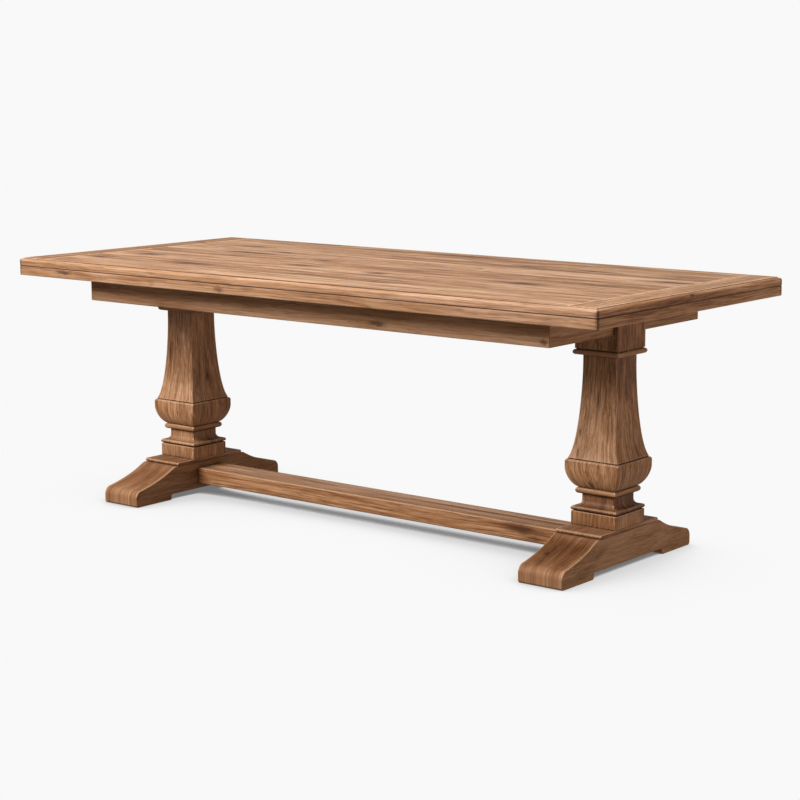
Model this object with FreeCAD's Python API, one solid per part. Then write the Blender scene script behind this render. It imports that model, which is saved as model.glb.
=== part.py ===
import FreeCAD, Part
import math
import os

from FreeCAD import Vector

# Trestle dining table. Millimetres, +Z up, +X along the length, floor at Z = 0.
# The origin is on the floor under the middle of the top.

# Table top: planks between two breadboard ends, framed by a mitred edge moulding with a lip
TOP_LENGTH = 2100.0
TOP_WIDTH = 930.0
TABLE_HEIGHT = 762.0
BOARD_THICK = 25.0
PLANK_COUNT = 7
BREADBOARD_WIDTH = 85.0
TONGUE_LONG = 20.0
TONGUE_THICK = 8.0
TONGUE_STOP = 15.0
TOP_ROUND = 9.0
SEAM_EASE = 0.8
LIP_WIDTH = 10.0
LIP_DROP = 2.5
STRIP_WIDTH = 70.0
STRIP_THICK = 28.0
STRIP_ROUND = 3.0
SHADOW_GROOVE = 2.0
CORNER_EASE = 2.0
PEG_RADIUS = 4.0
PEG_COVER = 5.0

# Apron box, its bearers and its glue blocks
END_OVERHANG = 207.5
SIDE_OVERHANG = 98.5
RAIL_HEIGHT = 100.0
RAIL_THICK = 20.0
RAIL_EASE = 1.5
RAIL_TENON = 15.0
RAIL_TENON_THICK = 10.0
RAIL_SHOULDER = 12.0
BEARER_THICK = 25.0
BEARER_WIDTH = 60.0
BATTEN_SPACING = 540.0
GLUE_BLOCK = 55.0
GLUE_BLOCK_HEIGHT = 60.0

# Leg column, from the top down: half widths are measured across the flats
BLOCK_PROUD = 13.5
BLOCK_HALF = 68.5
BLOCK_HEIGHT = 118.0
COLLAR_HEIGHT = 17.0
COLLAR_HALF = 72.5
COLLAR_SEAT = 65.0
COLLAR_QUIRK = 2.4
NECK_HALF = 52.2
NECK_STRAIGHT = 22.0
NECK_DRAW = 67.0
FLARE_HALF = 80.0
FLARE_KNEE_HALF = 60.0
FLARE_KNEE = 36.0
BULB_HEIGHT = 79.0
BULB_HALF = 85.7
BULB_FOOT_HALF = 61.2
BULB_SWELL = 56.0
BULB_PULL_OUT = 17.9
BULB_PULL_UP = 15.9
BULB_DRAW = 11.3
RIM_ROUND_UP = 8.0
RIM_ROUND_IN = 4.2
BEAD_HEIGHT = 17.0
BEAD_BELLY = 9.4
BEAD_HALF = 64.2
BEAD_SEAT = 55.5
BEAD_CROWN = 60.0
SCOTIA_HEIGHT = 47.0
SCOTIA_NECK_HALF = 50.2
SCOTIA_COVE = 16.0
TORUS_HALF = 72.8
TORUS_HEIGHT = 13.0
TORUS_BELLY = 6.3
TORUS_FOOT_HALF = 69.5
PLINTH_HEIGHT = 38.0
PLINTH_HALF = 72.2
JOINT_QUIRK = 2.2
JOINT_DEEP = 3.0
ARRIS = 1.5

# Sled foot and its cap
CAP_THICK = 10.0
CAP_HALF_LENGTH = 143.0
FOOT_HEIGHT = 102.0
FOOT_HALF = 70.5
FOOT_HALF_LENGTH = 321.0
FOOT_LIP = 7.0
OGEE_CROWN = 15.0
OGEE_HOLLOW = 30.0
TOE_HEIGHT = 51.0
TOE_ROUND = 24.0
TOE_SLOPE = 0.22
TOE_EASE = 5.0
PAD_LENGTH = 150.0
ARCH_HEIGHT = 17.0
ARCH_ROUND = 6.0

# Stretcher between the feet
STRETCHER_WIDTH = 107.0
STRETCHER_HEIGHT = 49.0
STRETCHER_LIFT = 34.0
STRETCHER_EASE = 2.5
STRETCHER_TENON = 40.0
STRETCHER_SHOULDER = 10.0
STRETCHER_CHEEK = 23.0
DOWEL_RADIUS = 5.0
DOWEL_SPACING = 30.0
DOWEL_OVER = 10.0

# Tie rod that clamps each column
ROD_RADIUS = 6.0
ROD_PROUD = 2.0
WASHER_RADIUS = 15.0
WASHER_THICK = 2.5
NUT_FLATS = 19.0
NUT_HEIGHT = 6.5
NUT_RECESS = 24.0
BEARER_WEB = 7.0

# Screws and clips under the top
SCREW_LENGTH = 38.0
SCREW_RADIUS = 2.1
SCREW_HEAD = 4.2
SCREW_HEAD_DEEP = 2.8
STRIP_LONG_COUNT = 6
STRIP_SHORT_COUNT = 3
STRIP_SCREW_END = 150.0
CLIP_WIDTH = 20.0
CLIP_SHEET = 1.5
CLIP_REACH = 8.0
CLIP_LEG = 26.0
CLIP_DROP = 12.0
CLIP_STANDOFF = 1.5
CLIP_SCREW_RADIUS = 1.9
CLIP_SCREW_LENGTH = 15.0
CLIP_SCREW_HEAD = 3.8
CLIP_SCREW_HEAD_HIGH = 2.4

# Levelling glides under the foot pads
GLIDE_RADIUS = 18.0
GLIDE_THICK = 5.5
GLIDE_CLEAR = 1.0
STEM_RADIUS = 4.0
STEM_LENGTH = 34.0
INSERT_RADIUS = 6.5
INSERT_LENGTH = 24.0

# Clearances: fixed fits, plain holes round a rod or stem, and a running thread
FIT = 0.15
HOLE_CLEAR = 0.4
THREAD_CLEAR = 0.08
RECESS_CLEAR = 2.0
TOUCH = 0.01

# Heights and places that follow from the sizes above
BOARD_UNDER = TABLE_HEIGHT - BOARD_THICK
LIP_TOP = TABLE_HEIGHT - LIP_DROP
BOARD_X = TOP_LENGTH / 2 - LIP_WIDTH
BOARD_Y = TOP_WIDTH / 2 - LIP_WIDTH
SEAM_X = BOARD_X - BREADBOARD_WIDTH
STRIP_UNDER = BOARD_UNDER - STRIP_THICK
RAIL_UNDER = BOARD_UNDER - RAIL_HEIGHT
BLOCK_TOP = BOARD_UNDER - BEARER_THICK
BLOCK_UNDER = BLOCK_TOP - BLOCK_HEIGHT
COLLAR_UNDER = BLOCK_UNDER - COLLAR_HEIGHT
CAP_TOP = FOOT_HEIGHT + CAP_THICK
PLINTH_TOP = CAP_TOP + PLINTH_HEIGHT
SCOTIA_TOP = PLINTH_TOP + SCOTIA_HEIGHT
BEAD_TOP = SCOTIA_TOP + BEAD_HEIGHT
BULB_TOP = BEAD_TOP + BULB_HEIGHT
APRON_X = TOP_LENGTH / 2 - END_OVERHANG
APRON_Y = TOP_WIDTH / 2 - SIDE_OVERHANG
INNER_X = APRON_X - RAIL_THICK
INNER_Y = APRON_Y - RAIL_THICK
LEG_X = APRON_X + BLOCK_PROUD - BLOCK_HALF
BATTEN_X = BATTEN_SPACING / 2
PAD_INNER = FOOT_HALF_LENGTH - PAD_LENGTH
PAD_MIDDLE = FOOT_HALF_LENGTH - PAD_LENGTH / 2
FOOT_INNER_X = LEG_X - FOOT_HALF
GLIDE_DEPTH = GLIDE_CLEAR + GLIDE_THICK + HOLE_CLEAR
SWEEP = 2 * (BULB_HALF + COLLAR_HALF)
UP = Vector(0, 0, 1)
ORIGIN = Vector(0, 0, 0)


def box(x0, x1, y0, y1, z0, z1):
    """Block between two corners."""
    return Part.makeBox(x1 - x0, y1 - y0, z1 - z0, Vector(x0, y0, z0))


def rod(radius, z0, z1, x=0.0, y=0.0):
    """Upright cylinder."""
    return Part.makeCylinder(radius, z1 - z0, Vector(x, y, z0))


def prism(corners, z0, z1):
    """Flat outline seen from above, raised from z0 to z1."""
    loop = Part.makePolygon([Vector(x, y, z0) for x, y in corners + corners[:1]])
    return Part.Face(loop).extrude(Vector(0, 0, z1 - z0))


def line(a, b):
    """Straight stretch of a profile; a point is (distance from the middle, height)."""
    return Part.makeLine(Vector(a[0], 0, a[1]), Vector(b[0], 0, b[1]))


def arc(a, middle, b):
    """Round stretch of a profile through three points."""
    return Part.Arc(*[Vector(d, 0, z) for d, z in (a, middle, b)]).toShape()


def sweep_curve(*poles):
    """Free curve of a profile, pulled towards its two middle poles."""
    curve = Part.BezierCurve()
    curve.setPoles([Vector(d, 0, z) for d, z in poles])
    return curve.toShape()


def profile_slab(side, half_width):
    """Profile side and its mirror image, closed and extruded both ways along Y."""
    other = [edge.mirror(ORIGIN, Vector(1, 0, 0)) for edge in side]
    low = side[0].firstVertex().Point
    high = side[-1].lastVertex().Point
    caps = [line((-p.x, p.z), (p.x, p.z)) for p in (low, high)]
    wire = Part.Wire(Part.__sortEdges__(side + other + caps))
    slab = Part.Face(wire).extrude(Vector(0, 2 * half_width, 0))
    slab.translate(Vector(0, -half_width, 0))
    return slab


def turned(solid, degrees):
    """Copy turned about the upright axis through the origin."""
    copy = solid.copy()
    copy.rotate(ORIGIN, UP, degrees)
    return copy


def moved(solid, x=0.0, y=0.0, z=0.0):
    """Copy moved by a distance."""
    copy = solid.copy()
    copy.translate(Vector(x, y, z))
    return copy


def square_moulding(side):
    """Four-sided moulding: the profile runs round a square and mitres at the corners."""
    slab = profile_slab(side, SWEEP)
    return slab.common(turned(slab, 90)).Solids[0]


def eased_moulding(side):
    """Square moulding whose corners are chamfered along the curve of the profile."""
    corner = FreeCAD.Matrix()
    corner.scale(math.sqrt(2), 1, 1)
    corner.move(-ARRIS / math.sqrt(2), 0, 0)
    slab = profile_slab([edge.transformGeometry(corner).Edges[0] for edge in side], SWEEP)
    return square_moulding(side).common(turned(slab, 45)).common(turned(slab, -45)).Solids[0]


def edges_where(solid, test):
    """Edges whose bounding box passes a test."""
    return [edge for edge in solid.Edges if test(edge.BoundBox)]


def level_edges(solid, z):
    """Edges that lie flat at one height."""
    return edges_where(solid, lambda b: abs(b.ZMin - z) < TOUCH and abs(b.ZMax - z) < TOUCH)


def corner_edges(solid):
    """Edges that climb the four corners of a square column."""
    return edges_where(solid, lambda b: b.ZLength > TOUCH)


def drilled(solid, tools):
    """Solid less the tools that reach it."""
    near = [tool for tool in tools if solid.BoundBox.intersect(tool.BoundBox)]
    return solid.cut(near).Solids[0] if near else solid


def save(name, *solids):
    """One file for each node; fasteners of one kind share a node."""
    shape = solids[0] if len(solids) == 1 else Part.makeCompound(list(solids))
    shape.exportStep(os.path.join("parts", name + ".step"))
    print(name, len(solids), round(shape.Volume), shape.isValid())


def save_pair(name, solid):
    """A piece of the right trestle, and its twin turned half round to the left."""
    save(name + "_right", solid)
    save(name + "_left", turned(solid, 180))


# Screws, clips and the holes that they need


def wood_screw(x, y, z, clear=0.0):
    """Countersunk screw driven upwards, its head flush at z."""
    head = Part.makeCone(SCREW_HEAD + clear, SCREW_RADIUS + clear, SCREW_HEAD_DEEP, Vector(x, y, z))
    return head.fuse(rod(SCREW_RADIUS + clear, z, z + SCREW_LENGTH + clear, x, y)).removeSplitter()


def clip_screw(x, y, clear=0.0):
    """Short pan-head screw that holds a clip to the boards."""
    seat = BOARD_UNDER - CLIP_SHEET
    head = rod(CLIP_SCREW_HEAD + clear, seat - CLIP_SCREW_HEAD_HIGH, seat, x, y)
    shank = rod(CLIP_SCREW_RADIUS + clear, seat, seat + CLIP_SCREW_LENGTH + clear, x, y)
    return head.fuse(shank).removeSplitter()


def plank_seams():
    """Y of every plank edge, front to back."""
    return spread(PLANK_COUNT + 1, 2 * BOARD_Y)


def plank_middle(index):
    seams = plank_seams()
    return (seams[index] + seams[index + 1]) / 2


def spread(count, span):
    """Evenly spaced places, centred on zero."""
    return [span * (k / (count - 1) - 0.5) for k in range(count)]


def bearer_places():
    """X of the cross pieces under the boards: a bearer over each leg and two battens."""
    return [-LEG_X, -BATTEN_X, BATTEN_X, LEG_X]


def clip_places():
    """X of the clips along a rail: midway between the cross pieces."""
    inner = BATTEN_X / 2
    outer = (BATTEN_X + LEG_X) / 2
    return [-outer, -inner, inner, outer]


def screw_places():
    """Where the wood screws start: bearers and battens, then the edge strips."""
    planks = [k for k in range(1, PLANK_COUNT - 1) if k != PLANK_COUNT // 2]
    places = [(x, plank_middle(k), BLOCK_TOP) for x in bearer_places() for k in planks]
    edge_x = TOP_LENGTH / 2 - STRIP_WIDTH / 2
    edge_y = TOP_WIDTH / 2 - STRIP_WIDTH / 2
    along = spread(STRIP_LONG_COUNT, TOP_LENGTH - 2 * STRIP_SCREW_END)
    places += [(x, side * edge_y, STRIP_UNDER) for x in along for side in (-1, 1)]
    across = spread(STRIP_SHORT_COUNT, TOP_WIDTH - 2 * STRIP_SCREW_END)
    return places + [(side * edge_x, y, STRIP_UNDER) for y in across for side in (-1, 1)]


def clip_screw_places():
    lever = INNER_Y - (CLIP_STANDOFF + CLIP_SHEET + CLIP_LEG) / 2
    return [(x, side * lever) for x in clip_places() for side in (-1, 1)]


def fixing_holes():
    holes = [wood_screw(*place, clear=FIT) for place in screw_places()]
    return holes + [clip_screw(*place, clear=FIT) for place in clip_screw_places()]


def top_clip(x):
    """Bent steel clip: its tongue sits in a kerf in the back rail, its leg under a plank."""
    foot = BOARD_UNDER - CLIP_DROP
    inner = CLIP_STANDOFF
    outer = CLIP_STANDOFF + CLIP_SHEET
    outline = [
        (-CLIP_REACH, foot - CLIP_SHEET), (outer, foot - CLIP_SHEET),
        (outer, BOARD_UNDER - CLIP_SHEET), (CLIP_LEG, BOARD_UNDER - CLIP_SHEET),
        (CLIP_LEG, BOARD_UNDER), (inner, BOARD_UNDER), (inner, foot), (-CLIP_REACH, foot),
    ]
    loop = [Vector(x - CLIP_WIDTH / 2, INNER_Y - d, z) for d, z in outline]
    return Part.Face(Part.makePolygon(loop + loop[:1])).extrude(Vector(CLIP_WIDTH, 0, 0))


def clip_kerf(x):
    """Saw kerf that takes a clip's tongue."""
    half = CLIP_WIDTH / 2 + RECESS_CLEAR
    foot = BOARD_UNDER - CLIP_DROP
    deep = INNER_Y + CLIP_REACH + HOLE_CLEAR
    return box(x - half, x + half, INNER_Y - RECESS_CLEAR, deep, foot - CLIP_SHEET - FIT, foot + FIT)


# Table top


def octagon(x, y, ease):
    """Plan of a rectangle with its four corners eased."""
    return [
        (-x + ease, -y), (x - ease, -y), (x, -y + ease), (x, y - ease),
        (x - ease, y), (-x + ease, y), (-x, y - ease), (-x, -y + ease),
    ]


def shadow_ring():
    """Cutters for the shallow V in the outer face, level with the underside of the boards."""
    deep = SHADOW_GROOVE
    section = [(-deep, BOARD_UNDER), (deep, BOARD_UNDER + 2 * deep), (deep, BOARD_UNDER - 2 * deep)]

    def side(half_length, distance):
        loop = [Vector(-half_length, distance + d, z) for d, z in section]
        return Part.Face(Part.makePolygon(loop + loop[:1])).extrude(Vector(2 * half_length, 0, 0))

    long = side(TOP_LENGTH / 2, TOP_WIDTH / 2)
    short = turned(side(TOP_WIDTH / 2, TOP_LENGTH / 2), 90)
    return [long, turned(long, 180), short, turned(short, 180)]


def board_slab():
    """Outer form of planks and breadboards together, inside the lip."""
    return box(-BOARD_X, BOARD_X, -BOARD_Y, BOARD_Y, BOARD_UNDER, TABLE_HEIGHT)


def edge_slab():
    """Outer form of the edge moulding: its lip lies a step below the boards that it frames."""
    x = TOP_LENGTH / 2
    y = TOP_WIDTH / 2
    slab = box(-x, x, -y, y, STRIP_UNDER, LIP_TOP)
    slab = slab.makeFillet(TOP_ROUND, level_edges(slab, LIP_TOP))
    slab = slab.makeFillet(STRIP_ROUND, level_edges(slab, STRIP_UNDER))
    slab = slab.common(prism(octagon(x, y, CORNER_EASE), STRIP_UNDER, LIP_TOP))
    return slab.cut([board_slab()] + shadow_ring())


def tongue_box(y0, y1, clear=0.0, deep=0.0):
    """Tongue at the right end of the planks, or with clearance the groove that takes it."""
    middle = BOARD_UNDER + BOARD_THICK / 2
    half = TONGUE_THICK / 2 + clear
    end = SEAM_X + TONGUE_LONG + deep
    return box(SEAM_X - deep, end, y0 - deep, y1 + deep, middle - half, middle + half)


def top_pegs(clear=0.0):
    """Pegs driven from below through breadboard and tongue."""
    x = SEAM_X + TONGUE_LONG / 2
    ys = [plank_middle(k) for k in (1, PLANK_COUNT // 2, PLANK_COUNT - 2)]
    high = TABLE_HEIGHT - PEG_COVER + clear
    return [rod(PEG_RADIUS + clear, BOARD_UNDER, high, side * x, y) for side in (-1, 1) for y in ys]


def plank(index, holes):
    """One plank, tongued at both ends and eased along its seams."""
    y0, y1 = plank_seams()[index:index + 2]
    body = box(-SEAM_X, SEAM_X, y0, y1, BOARD_UNDER, TABLE_HEIGHT)
    body = body.makeChamfer(SEAM_EASE, level_edges(body, TABLE_HEIGHT))
    stop = BOARD_Y - TONGUE_STOP
    tongue = tongue_box(max(y0, -stop), min(y1, stop))
    body = body.fuse([tongue, turned(tongue_box(-min(y1, stop), -max(y0, -stop)), 180)])
    return drilled(body.removeSplitter().Solids[0], holes)


def breadboard(holes):
    """Right breadboard end, grooved for the tongues."""
    body = box(SEAM_X, BOARD_X, -BOARD_Y, BOARD_Y, BOARD_UNDER, TABLE_HEIGHT)
    body = body.makeChamfer(SEAM_EASE, level_edges(body, TABLE_HEIGHT))
    groove = tongue_box(TONGUE_STOP - BOARD_Y, BOARD_Y - TONGUE_STOP, FIT, HOLE_CLEAR)
    return drilled(body.cut(groove).Solids[0], holes)


def edge_strips(slab, holes):
    """Edge moulding in four lengths, mitred at the corners: front, back, left and right."""
    x = TOP_LENGTH / 2
    y = TOP_WIDTH / 2
    xi = x - STRIP_WIDTH
    yi = y - STRIP_WIDTH
    plans = {
        "front": [(-x, -y), (x, -y), (xi, -yi), (-xi, -yi)],
        "back": [(-x, y), (-xi, yi), (xi, yi), (x, y)],
        "left": [(-x, -y), (-xi, -yi), (-xi, yi), (-x, y)],
        "right": [(x, -y), (x, y), (xi, yi), (xi, -yi)],
    }
    for name, plan in plans.items():
        strip = prism(plan, STRIP_UNDER, LIP_TOP).common(slab)
        save("edge_strip_" + name, drilled(strip.Solids[0], holes))


def build_top():
    holes = fixing_holes()
    board_cuts = holes + top_pegs(FIT)
    for index in range(PLANK_COUNT):
        save("top_plank_%d" % (index + 1), plank(index, board_cuts))
    save_pair("breadboard", breadboard(board_cuts))
    save("breadboard_pegs", *top_pegs())
    edge_strips(edge_slab(), holes)


# Apron box


def eased_rail(plan):
    """Rail on a plan outline with its lower arrises eased."""
    rail = prism(plan, RAIL_UNDER, BOARD_UNDER)
    rail = rail.makeChamfer(RAIL_EASE, level_edges(rail, RAIL_UNDER))
    return rail.common(prism(octagon(APRON_X, APRON_Y, RAIL_EASE), RAIL_UNDER, BOARD_UNDER))


def back_rail():
    plan = [(-APRON_X, APRON_Y), (-INNER_X, INNER_Y), (INNER_X, INNER_Y), (APRON_X, APRON_Y)]
    kerfs = [clip_kerf(x) for x in clip_places()]
    return drilled(eased_rail(plan), kerfs)


def rail_tenon(clear=0.0):
    """Stub tenon of the right back end rail, or with clearance its mortise in the leg block."""
    half = RAIL_TENON_THICK / 2 + clear
    x = APRON_X - RAIL_THICK / 2
    low = RAIL_UNDER + RAIL_SHOULDER - clear
    high = BLOCK_TOP - RAIL_SHOULDER + clear
    return box(x - half, x + half, BLOCK_HALF - RAIL_TENON - clear, BLOCK_HALF, low, high)


def end_rail():
    """Back half of the right end rail, from the mitred corner to the leg block."""
    plan = [(APRON_X, BLOCK_HALF), (APRON_X, APRON_Y), (INNER_X, INNER_Y), (INNER_X, BLOCK_HALF)]
    return eased_rail(plan).fuse(rail_tenon()).removeSplitter().Solids[0]


def mirrored(solid):
    """Copy reflected from the back half to the front half."""
    return solid.mirror(ORIGIN, Vector(0, 1, 0)).Solids[0]


def cross_bearer(x, holes):
    half = BEARER_WIDTH / 2
    bearer = box(x - half, x + half, -INNER_Y, INNER_Y, BLOCK_TOP, BOARD_UNDER)
    return drilled(bearer, holes)


def glue_block():
    """Three-cornered block in the right back corner, under the bearer's end."""
    plan = [(INNER_X, INNER_Y), (INNER_X - GLUE_BLOCK, INNER_Y), (INNER_X, INNER_Y - GLUE_BLOCK)]
    return prism(plan, BLOCK_TOP - GLUE_BLOCK_HEIGHT, BLOCK_TOP)


def build_apron():
    rail = back_rail()
    save("apron_back", rail)
    save("apron_front", turned(rail, 180))
    end = end_rail()
    corner = glue_block()
    for name, piece in (("apron_end", end), ("glue_block", corner)):
        save(name + "_right_back", piece)
        save(name + "_right_front", mirrored(piece))
        save(name + "_left_front", turned(piece, 180))
        save(name + "_left_back", turned(mirrored(piece), 180))
    holes = fixing_holes()
    seat = BLOCK_TOP + BEARER_WEB
    recess = rod(WASHER_RADIUS + RECESS_CLEAR, seat, BOARD_UNDER, LEG_X)
    save_pair("bearer", cross_bearer(LEG_X, holes + [recess, rod_hole(LEG_X)]))
    save_pair("cross_batten", cross_bearer(BATTEN_X, holes))
    clips = [top_clip(x) for x in clip_places()]
    clip_holes = [clip_screw(*place, clear=FIT) for place in clip_screw_places()]
    clips += [turned(clip, 180) for clip in clips]
    save("top_clips", *[drilled(clip, clip_holes) for clip in clips])
    save("clip_screws", *[clip_screw(*place) for place in clip_screw_places()])
    save("wood_screws", *[wood_screw(*place) for place in screw_places()])


# Leg columns


def rod_hole(x=0.0):
    return rod(ROD_RADIUS + HOLE_CLEAR, 0, TABLE_HEIGHT, x)


def capital_block():
    """Square block that stands proud of the apron and takes the end rails' tenons."""
    half = BLOCK_HALF
    block = box(LEG_X - half, LEG_X + half, -half, half, BLOCK_UNDER, BLOCK_TOP)
    block = block.makeChamfer(ARRIS, corner_edges(block))
    mortise = rail_tenon(FIT)
    return drilled(block, [mortise, mirrored(mortise), rod_hole(LEG_X)])


def collar_bead():
    """Bead under the block, with a quirk that leaves a dark line."""
    bead_top = COLLAR_HEIGHT - COLLAR_QUIRK
    return square_moulding([
        arc((COLLAR_SEAT, 0), (COLLAR_HALF, bead_top / 2), (COLLAR_SEAT, bead_top)),
        line((COLLAR_SEAT, bead_top), (COLLAR_SEAT, COLLAR_HEIGHT)),
    ])


def joint_quirk(half):
    """Recess at the foot of a moulding, which leaves a dark line on the piece below."""
    inner = half - JOINT_DEEP
    return [
        line((inner, 0), (inner, JOINT_QUIRK)),
        line((inner, JOINT_QUIRK), (half, JOINT_QUIRK)),
    ]


def shaft():
    """Square shaft that sweeps out to a wide flare at its foot."""
    height = COLLAR_UNDER - BULB_TOP
    shoulder = height - NECK_STRAIGHT
    return eased_moulding(joint_quirk(FLARE_HALF) + [
        sweep_curve(
            (FLARE_HALF, JOINT_QUIRK), (FLARE_KNEE_HALF, FLARE_KNEE),
            (NECK_HALF, shoulder - NECK_DRAW), (NECK_HALF, shoulder)),
        line((NECK_HALF, shoulder), (NECK_HALF, height)),
    ])


def bulb():
    """Square bulb: a full curve up to an upright face and a rounded rim."""
    rim = BULB_HEIGHT - RIM_ROUND_UP
    crown = (BULB_HALF - RIM_ROUND_IN, BULB_HEIGHT)
    bow = math.sqrt(0.5)
    shoulder = (BULB_HALF - RIM_ROUND_IN * (1 - bow), rim + RIM_ROUND_UP * bow)
    return eased_moulding(joint_quirk(BULB_FOOT_HALF) + [
        sweep_curve(
            (BULB_FOOT_HALF, JOINT_QUIRK), (BULB_FOOT_HALF + BULB_PULL_OUT, BULB_PULL_UP),
            (BULB_HALF, BULB_SWELL - BULB_DRAW), (BULB_HALF, BULB_SWELL)),
        line((BULB_HALF, BULB_SWELL), (BULB_HALF, rim)),
        arc((BULB_HALF, rim), shoulder, crown),
    ])


def bulb_bead():
    """Round bead between the bulb and the scotia."""
    return square_moulding([
        arc((BEAD_SEAT, 0), (BEAD_HALF, BEAD_BELLY), (BEAD_CROWN, BEAD_HEIGHT)),
    ])


def base_scotia():
    """Hollow neck that coves out over a torus."""
    cove_foot = (SCOTIA_NECK_HALF + SCOTIA_COVE, TORUS_HEIGHT)
    cove_top = TORUS_HEIGHT + SCOTIA_COVE
    bow = SCOTIA_COVE * (1 - math.sqrt(0.5))
    return square_moulding(joint_quirk(TORUS_FOOT_HALF) + [
        arc((TORUS_FOOT_HALF, JOINT_QUIRK), (TORUS_HALF, TORUS_BELLY), cove_foot),
        arc(cove_foot, (SCOTIA_NECK_HALF + bow, TORUS_HEIGHT + bow), (SCOTIA_NECK_HALF, cove_top)),
        line((SCOTIA_NECK_HALF, cove_top), (SCOTIA_NECK_HALF, SCOTIA_HEIGHT)),
    ])


def plinth():
    half = PLINTH_HALF
    solid = box(-half, half, -half, half, 0, PLINTH_HEIGHT)
    return solid.makeChamfer(ARRIS, solid.Edges)


def foot_cap():
    """Thin cap with a round nose over the front and back slopes."""
    straight = CAP_HALF_LENGTH - CAP_THICK / 2
    nose = arc((straight, 0), (CAP_HALF_LENGTH, CAP_THICK / 2), (straight, CAP_THICK))
    slab = turned(profile_slab([nose], PLINTH_HALF), 90)
    sides = edges_where(slab, lambda b: b.XLength < TOUCH and b.YLength > CAP_HALF_LENGTH)
    return slab.makeChamfer(ARRIS / 2, sides)


def place_column(solid, z):
    """Move a moulding to its height on the right leg and bore it for the tie rod."""
    return drilled(moved(solid, LEG_X, 0, z), [rod_hole(LEG_X)])


# Feet and stretcher


def foot_side():
    """Half of the foot's side view: arch, pad, rounded toe, ogee slope and lip."""
    lip = CAP_HALF_LENGTH + FOOT_LIP
    toe = FOOT_HALF_LENGTH
    toe_top = (toe - TOE_ROUND, TOE_HEIGHT)
    toe_face = TOE_HEIGHT - TOE_ROUND
    bow = TOE_ROUND * (1 - math.sqrt(0.5))
    hollow = lip + OGEE_HOLLOW
    hollow_z = TOE_HEIGHT + TOE_SLOPE * (toe_top[0] - hollow)
    round_in = ARCH_ROUND * math.sqrt(0.5)
    return [
        arc((PAD_INNER - ARCH_ROUND, ARCH_HEIGHT),
            (PAD_INNER - ARCH_ROUND + round_in, ARCH_HEIGHT - ARCH_ROUND + round_in),
            (PAD_INNER, ARCH_HEIGHT - ARCH_ROUND)),
        line((PAD_INNER, ARCH_HEIGHT - ARCH_ROUND), (PAD_INNER, TOE_EASE)),
        line((PAD_INNER, TOE_EASE), (PAD_INNER + TOE_EASE, 0)),
        line((PAD_INNER + TOE_EASE, 0), (toe - TOE_EASE, 0)),
        line((toe - TOE_EASE, 0), (toe, TOE_EASE)),
        line((toe, TOE_EASE), (toe, toe_face)),
        arc((toe, toe_face), (toe - bow, TOE_HEIGHT - bow), toe_top),
        sweep_curve(toe_top, (hollow, hollow_z), (lip + OGEE_CROWN, FOOT_HEIGHT), (lip, FOOT_HEIGHT)),
    ]


def tenon(clear=0.0):
    """Tenon at the stretcher's right end, or with clearance its mortise in the foot."""
    half = STRETCHER_WIDTH / 2 - STRETCHER_CHEEK + clear
    low = STRETCHER_LIFT + STRETCHER_SHOULDER - clear
    high = STRETCHER_LIFT + STRETCHER_HEIGHT - STRETCHER_SHOULDER + clear
    return box(FOOT_INNER_X, FOOT_INNER_X + STRETCHER_TENON + clear, -half, half, low, high)


def stretcher_dowels(clear=0.0):
    """Dowels driven up through the foot and the tenon."""
    x = FOOT_INNER_X + STRETCHER_TENON / 2
    high = STRETCHER_LIFT + STRETCHER_HEIGHT - STRETCHER_SHOULDER + DOWEL_OVER + clear
    ys = (-DOWEL_SPACING / 2, DOWEL_SPACING / 2)
    return [rod(DOWEL_RADIUS + clear, ARCH_HEIGHT, high, side * x, y) for side in (-1, 1) for y in ys]


def glide_bore(y):
    """Recess for a glide, seat for its threaded insert and room for its stem."""
    shoulder = GLIDE_DEPTH + INSERT_LENGTH
    stem_end = GLIDE_CLEAR + GLIDE_THICK + STEM_LENGTH + RECESS_CLEAR
    recess = rod(GLIDE_RADIUS + RECESS_CLEAR, -RECESS_CLEAR, GLIDE_DEPTH, LEG_X, y)
    seat = rod(INSERT_RADIUS + FIT, 0, shoulder, LEG_X, y)
    return recess.fuse([seat, rod(STEM_RADIUS + HOLE_CLEAR, 0, stem_end, LEG_X, y)])


def foot():
    """Right sled foot with its mortise, bores and eased arrises."""
    slab = turned(profile_slab(foot_side(), FOOT_HALF), 90)
    rim = edges_where(slab, lambda b: b.XLength < TOUCH and b.ZMax > TOE_EASE)
    slab = moved(slab.makeChamfer(ARRIS, rim), LEG_X)
    recess = rod(WASHER_RADIUS + RECESS_CLEAR, 0, ARCH_HEIGHT + NUT_RECESS, LEG_X)
    tools = [tenon(FIT), recess, rod_hole(LEG_X), glide_bore(-PAD_MIDDLE), glide_bore(PAD_MIDDLE)]
    return drilled(slab, tools + stretcher_dowels(FIT))


def stretcher():
    half = STRETCHER_WIDTH / 2
    top = STRETCHER_LIFT + STRETCHER_HEIGHT
    bar = box(-FOOT_INNER_X, FOOT_INNER_X, -half, half, STRETCHER_LIFT, top)
    bar = bar.makeChamfer(STRETCHER_EASE, edges_where(bar, lambda b: b.XLength > FOOT_INNER_X))
    bar = bar.fuse([tenon(), turned(tenon(), 180)]).removeSplitter().Solids[0]
    return drilled(bar, stretcher_dowels(FIT))


# Tie rods and levelling glides


def hex_nut(z):
    """Hexagon nut on the right tie rod."""
    corner = NUT_FLATS / math.sqrt(3)
    angles = [math.radians(60 * k) for k in range(6)]
    plan = [(LEG_X + corner * math.cos(a), corner * math.sin(a)) for a in angles]
    return prism(plan, z, z + NUT_HEIGHT).cut(rod(ROD_RADIUS + FIT, z, z + NUT_HEIGHT, LEG_X)).Solids[0]


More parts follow.
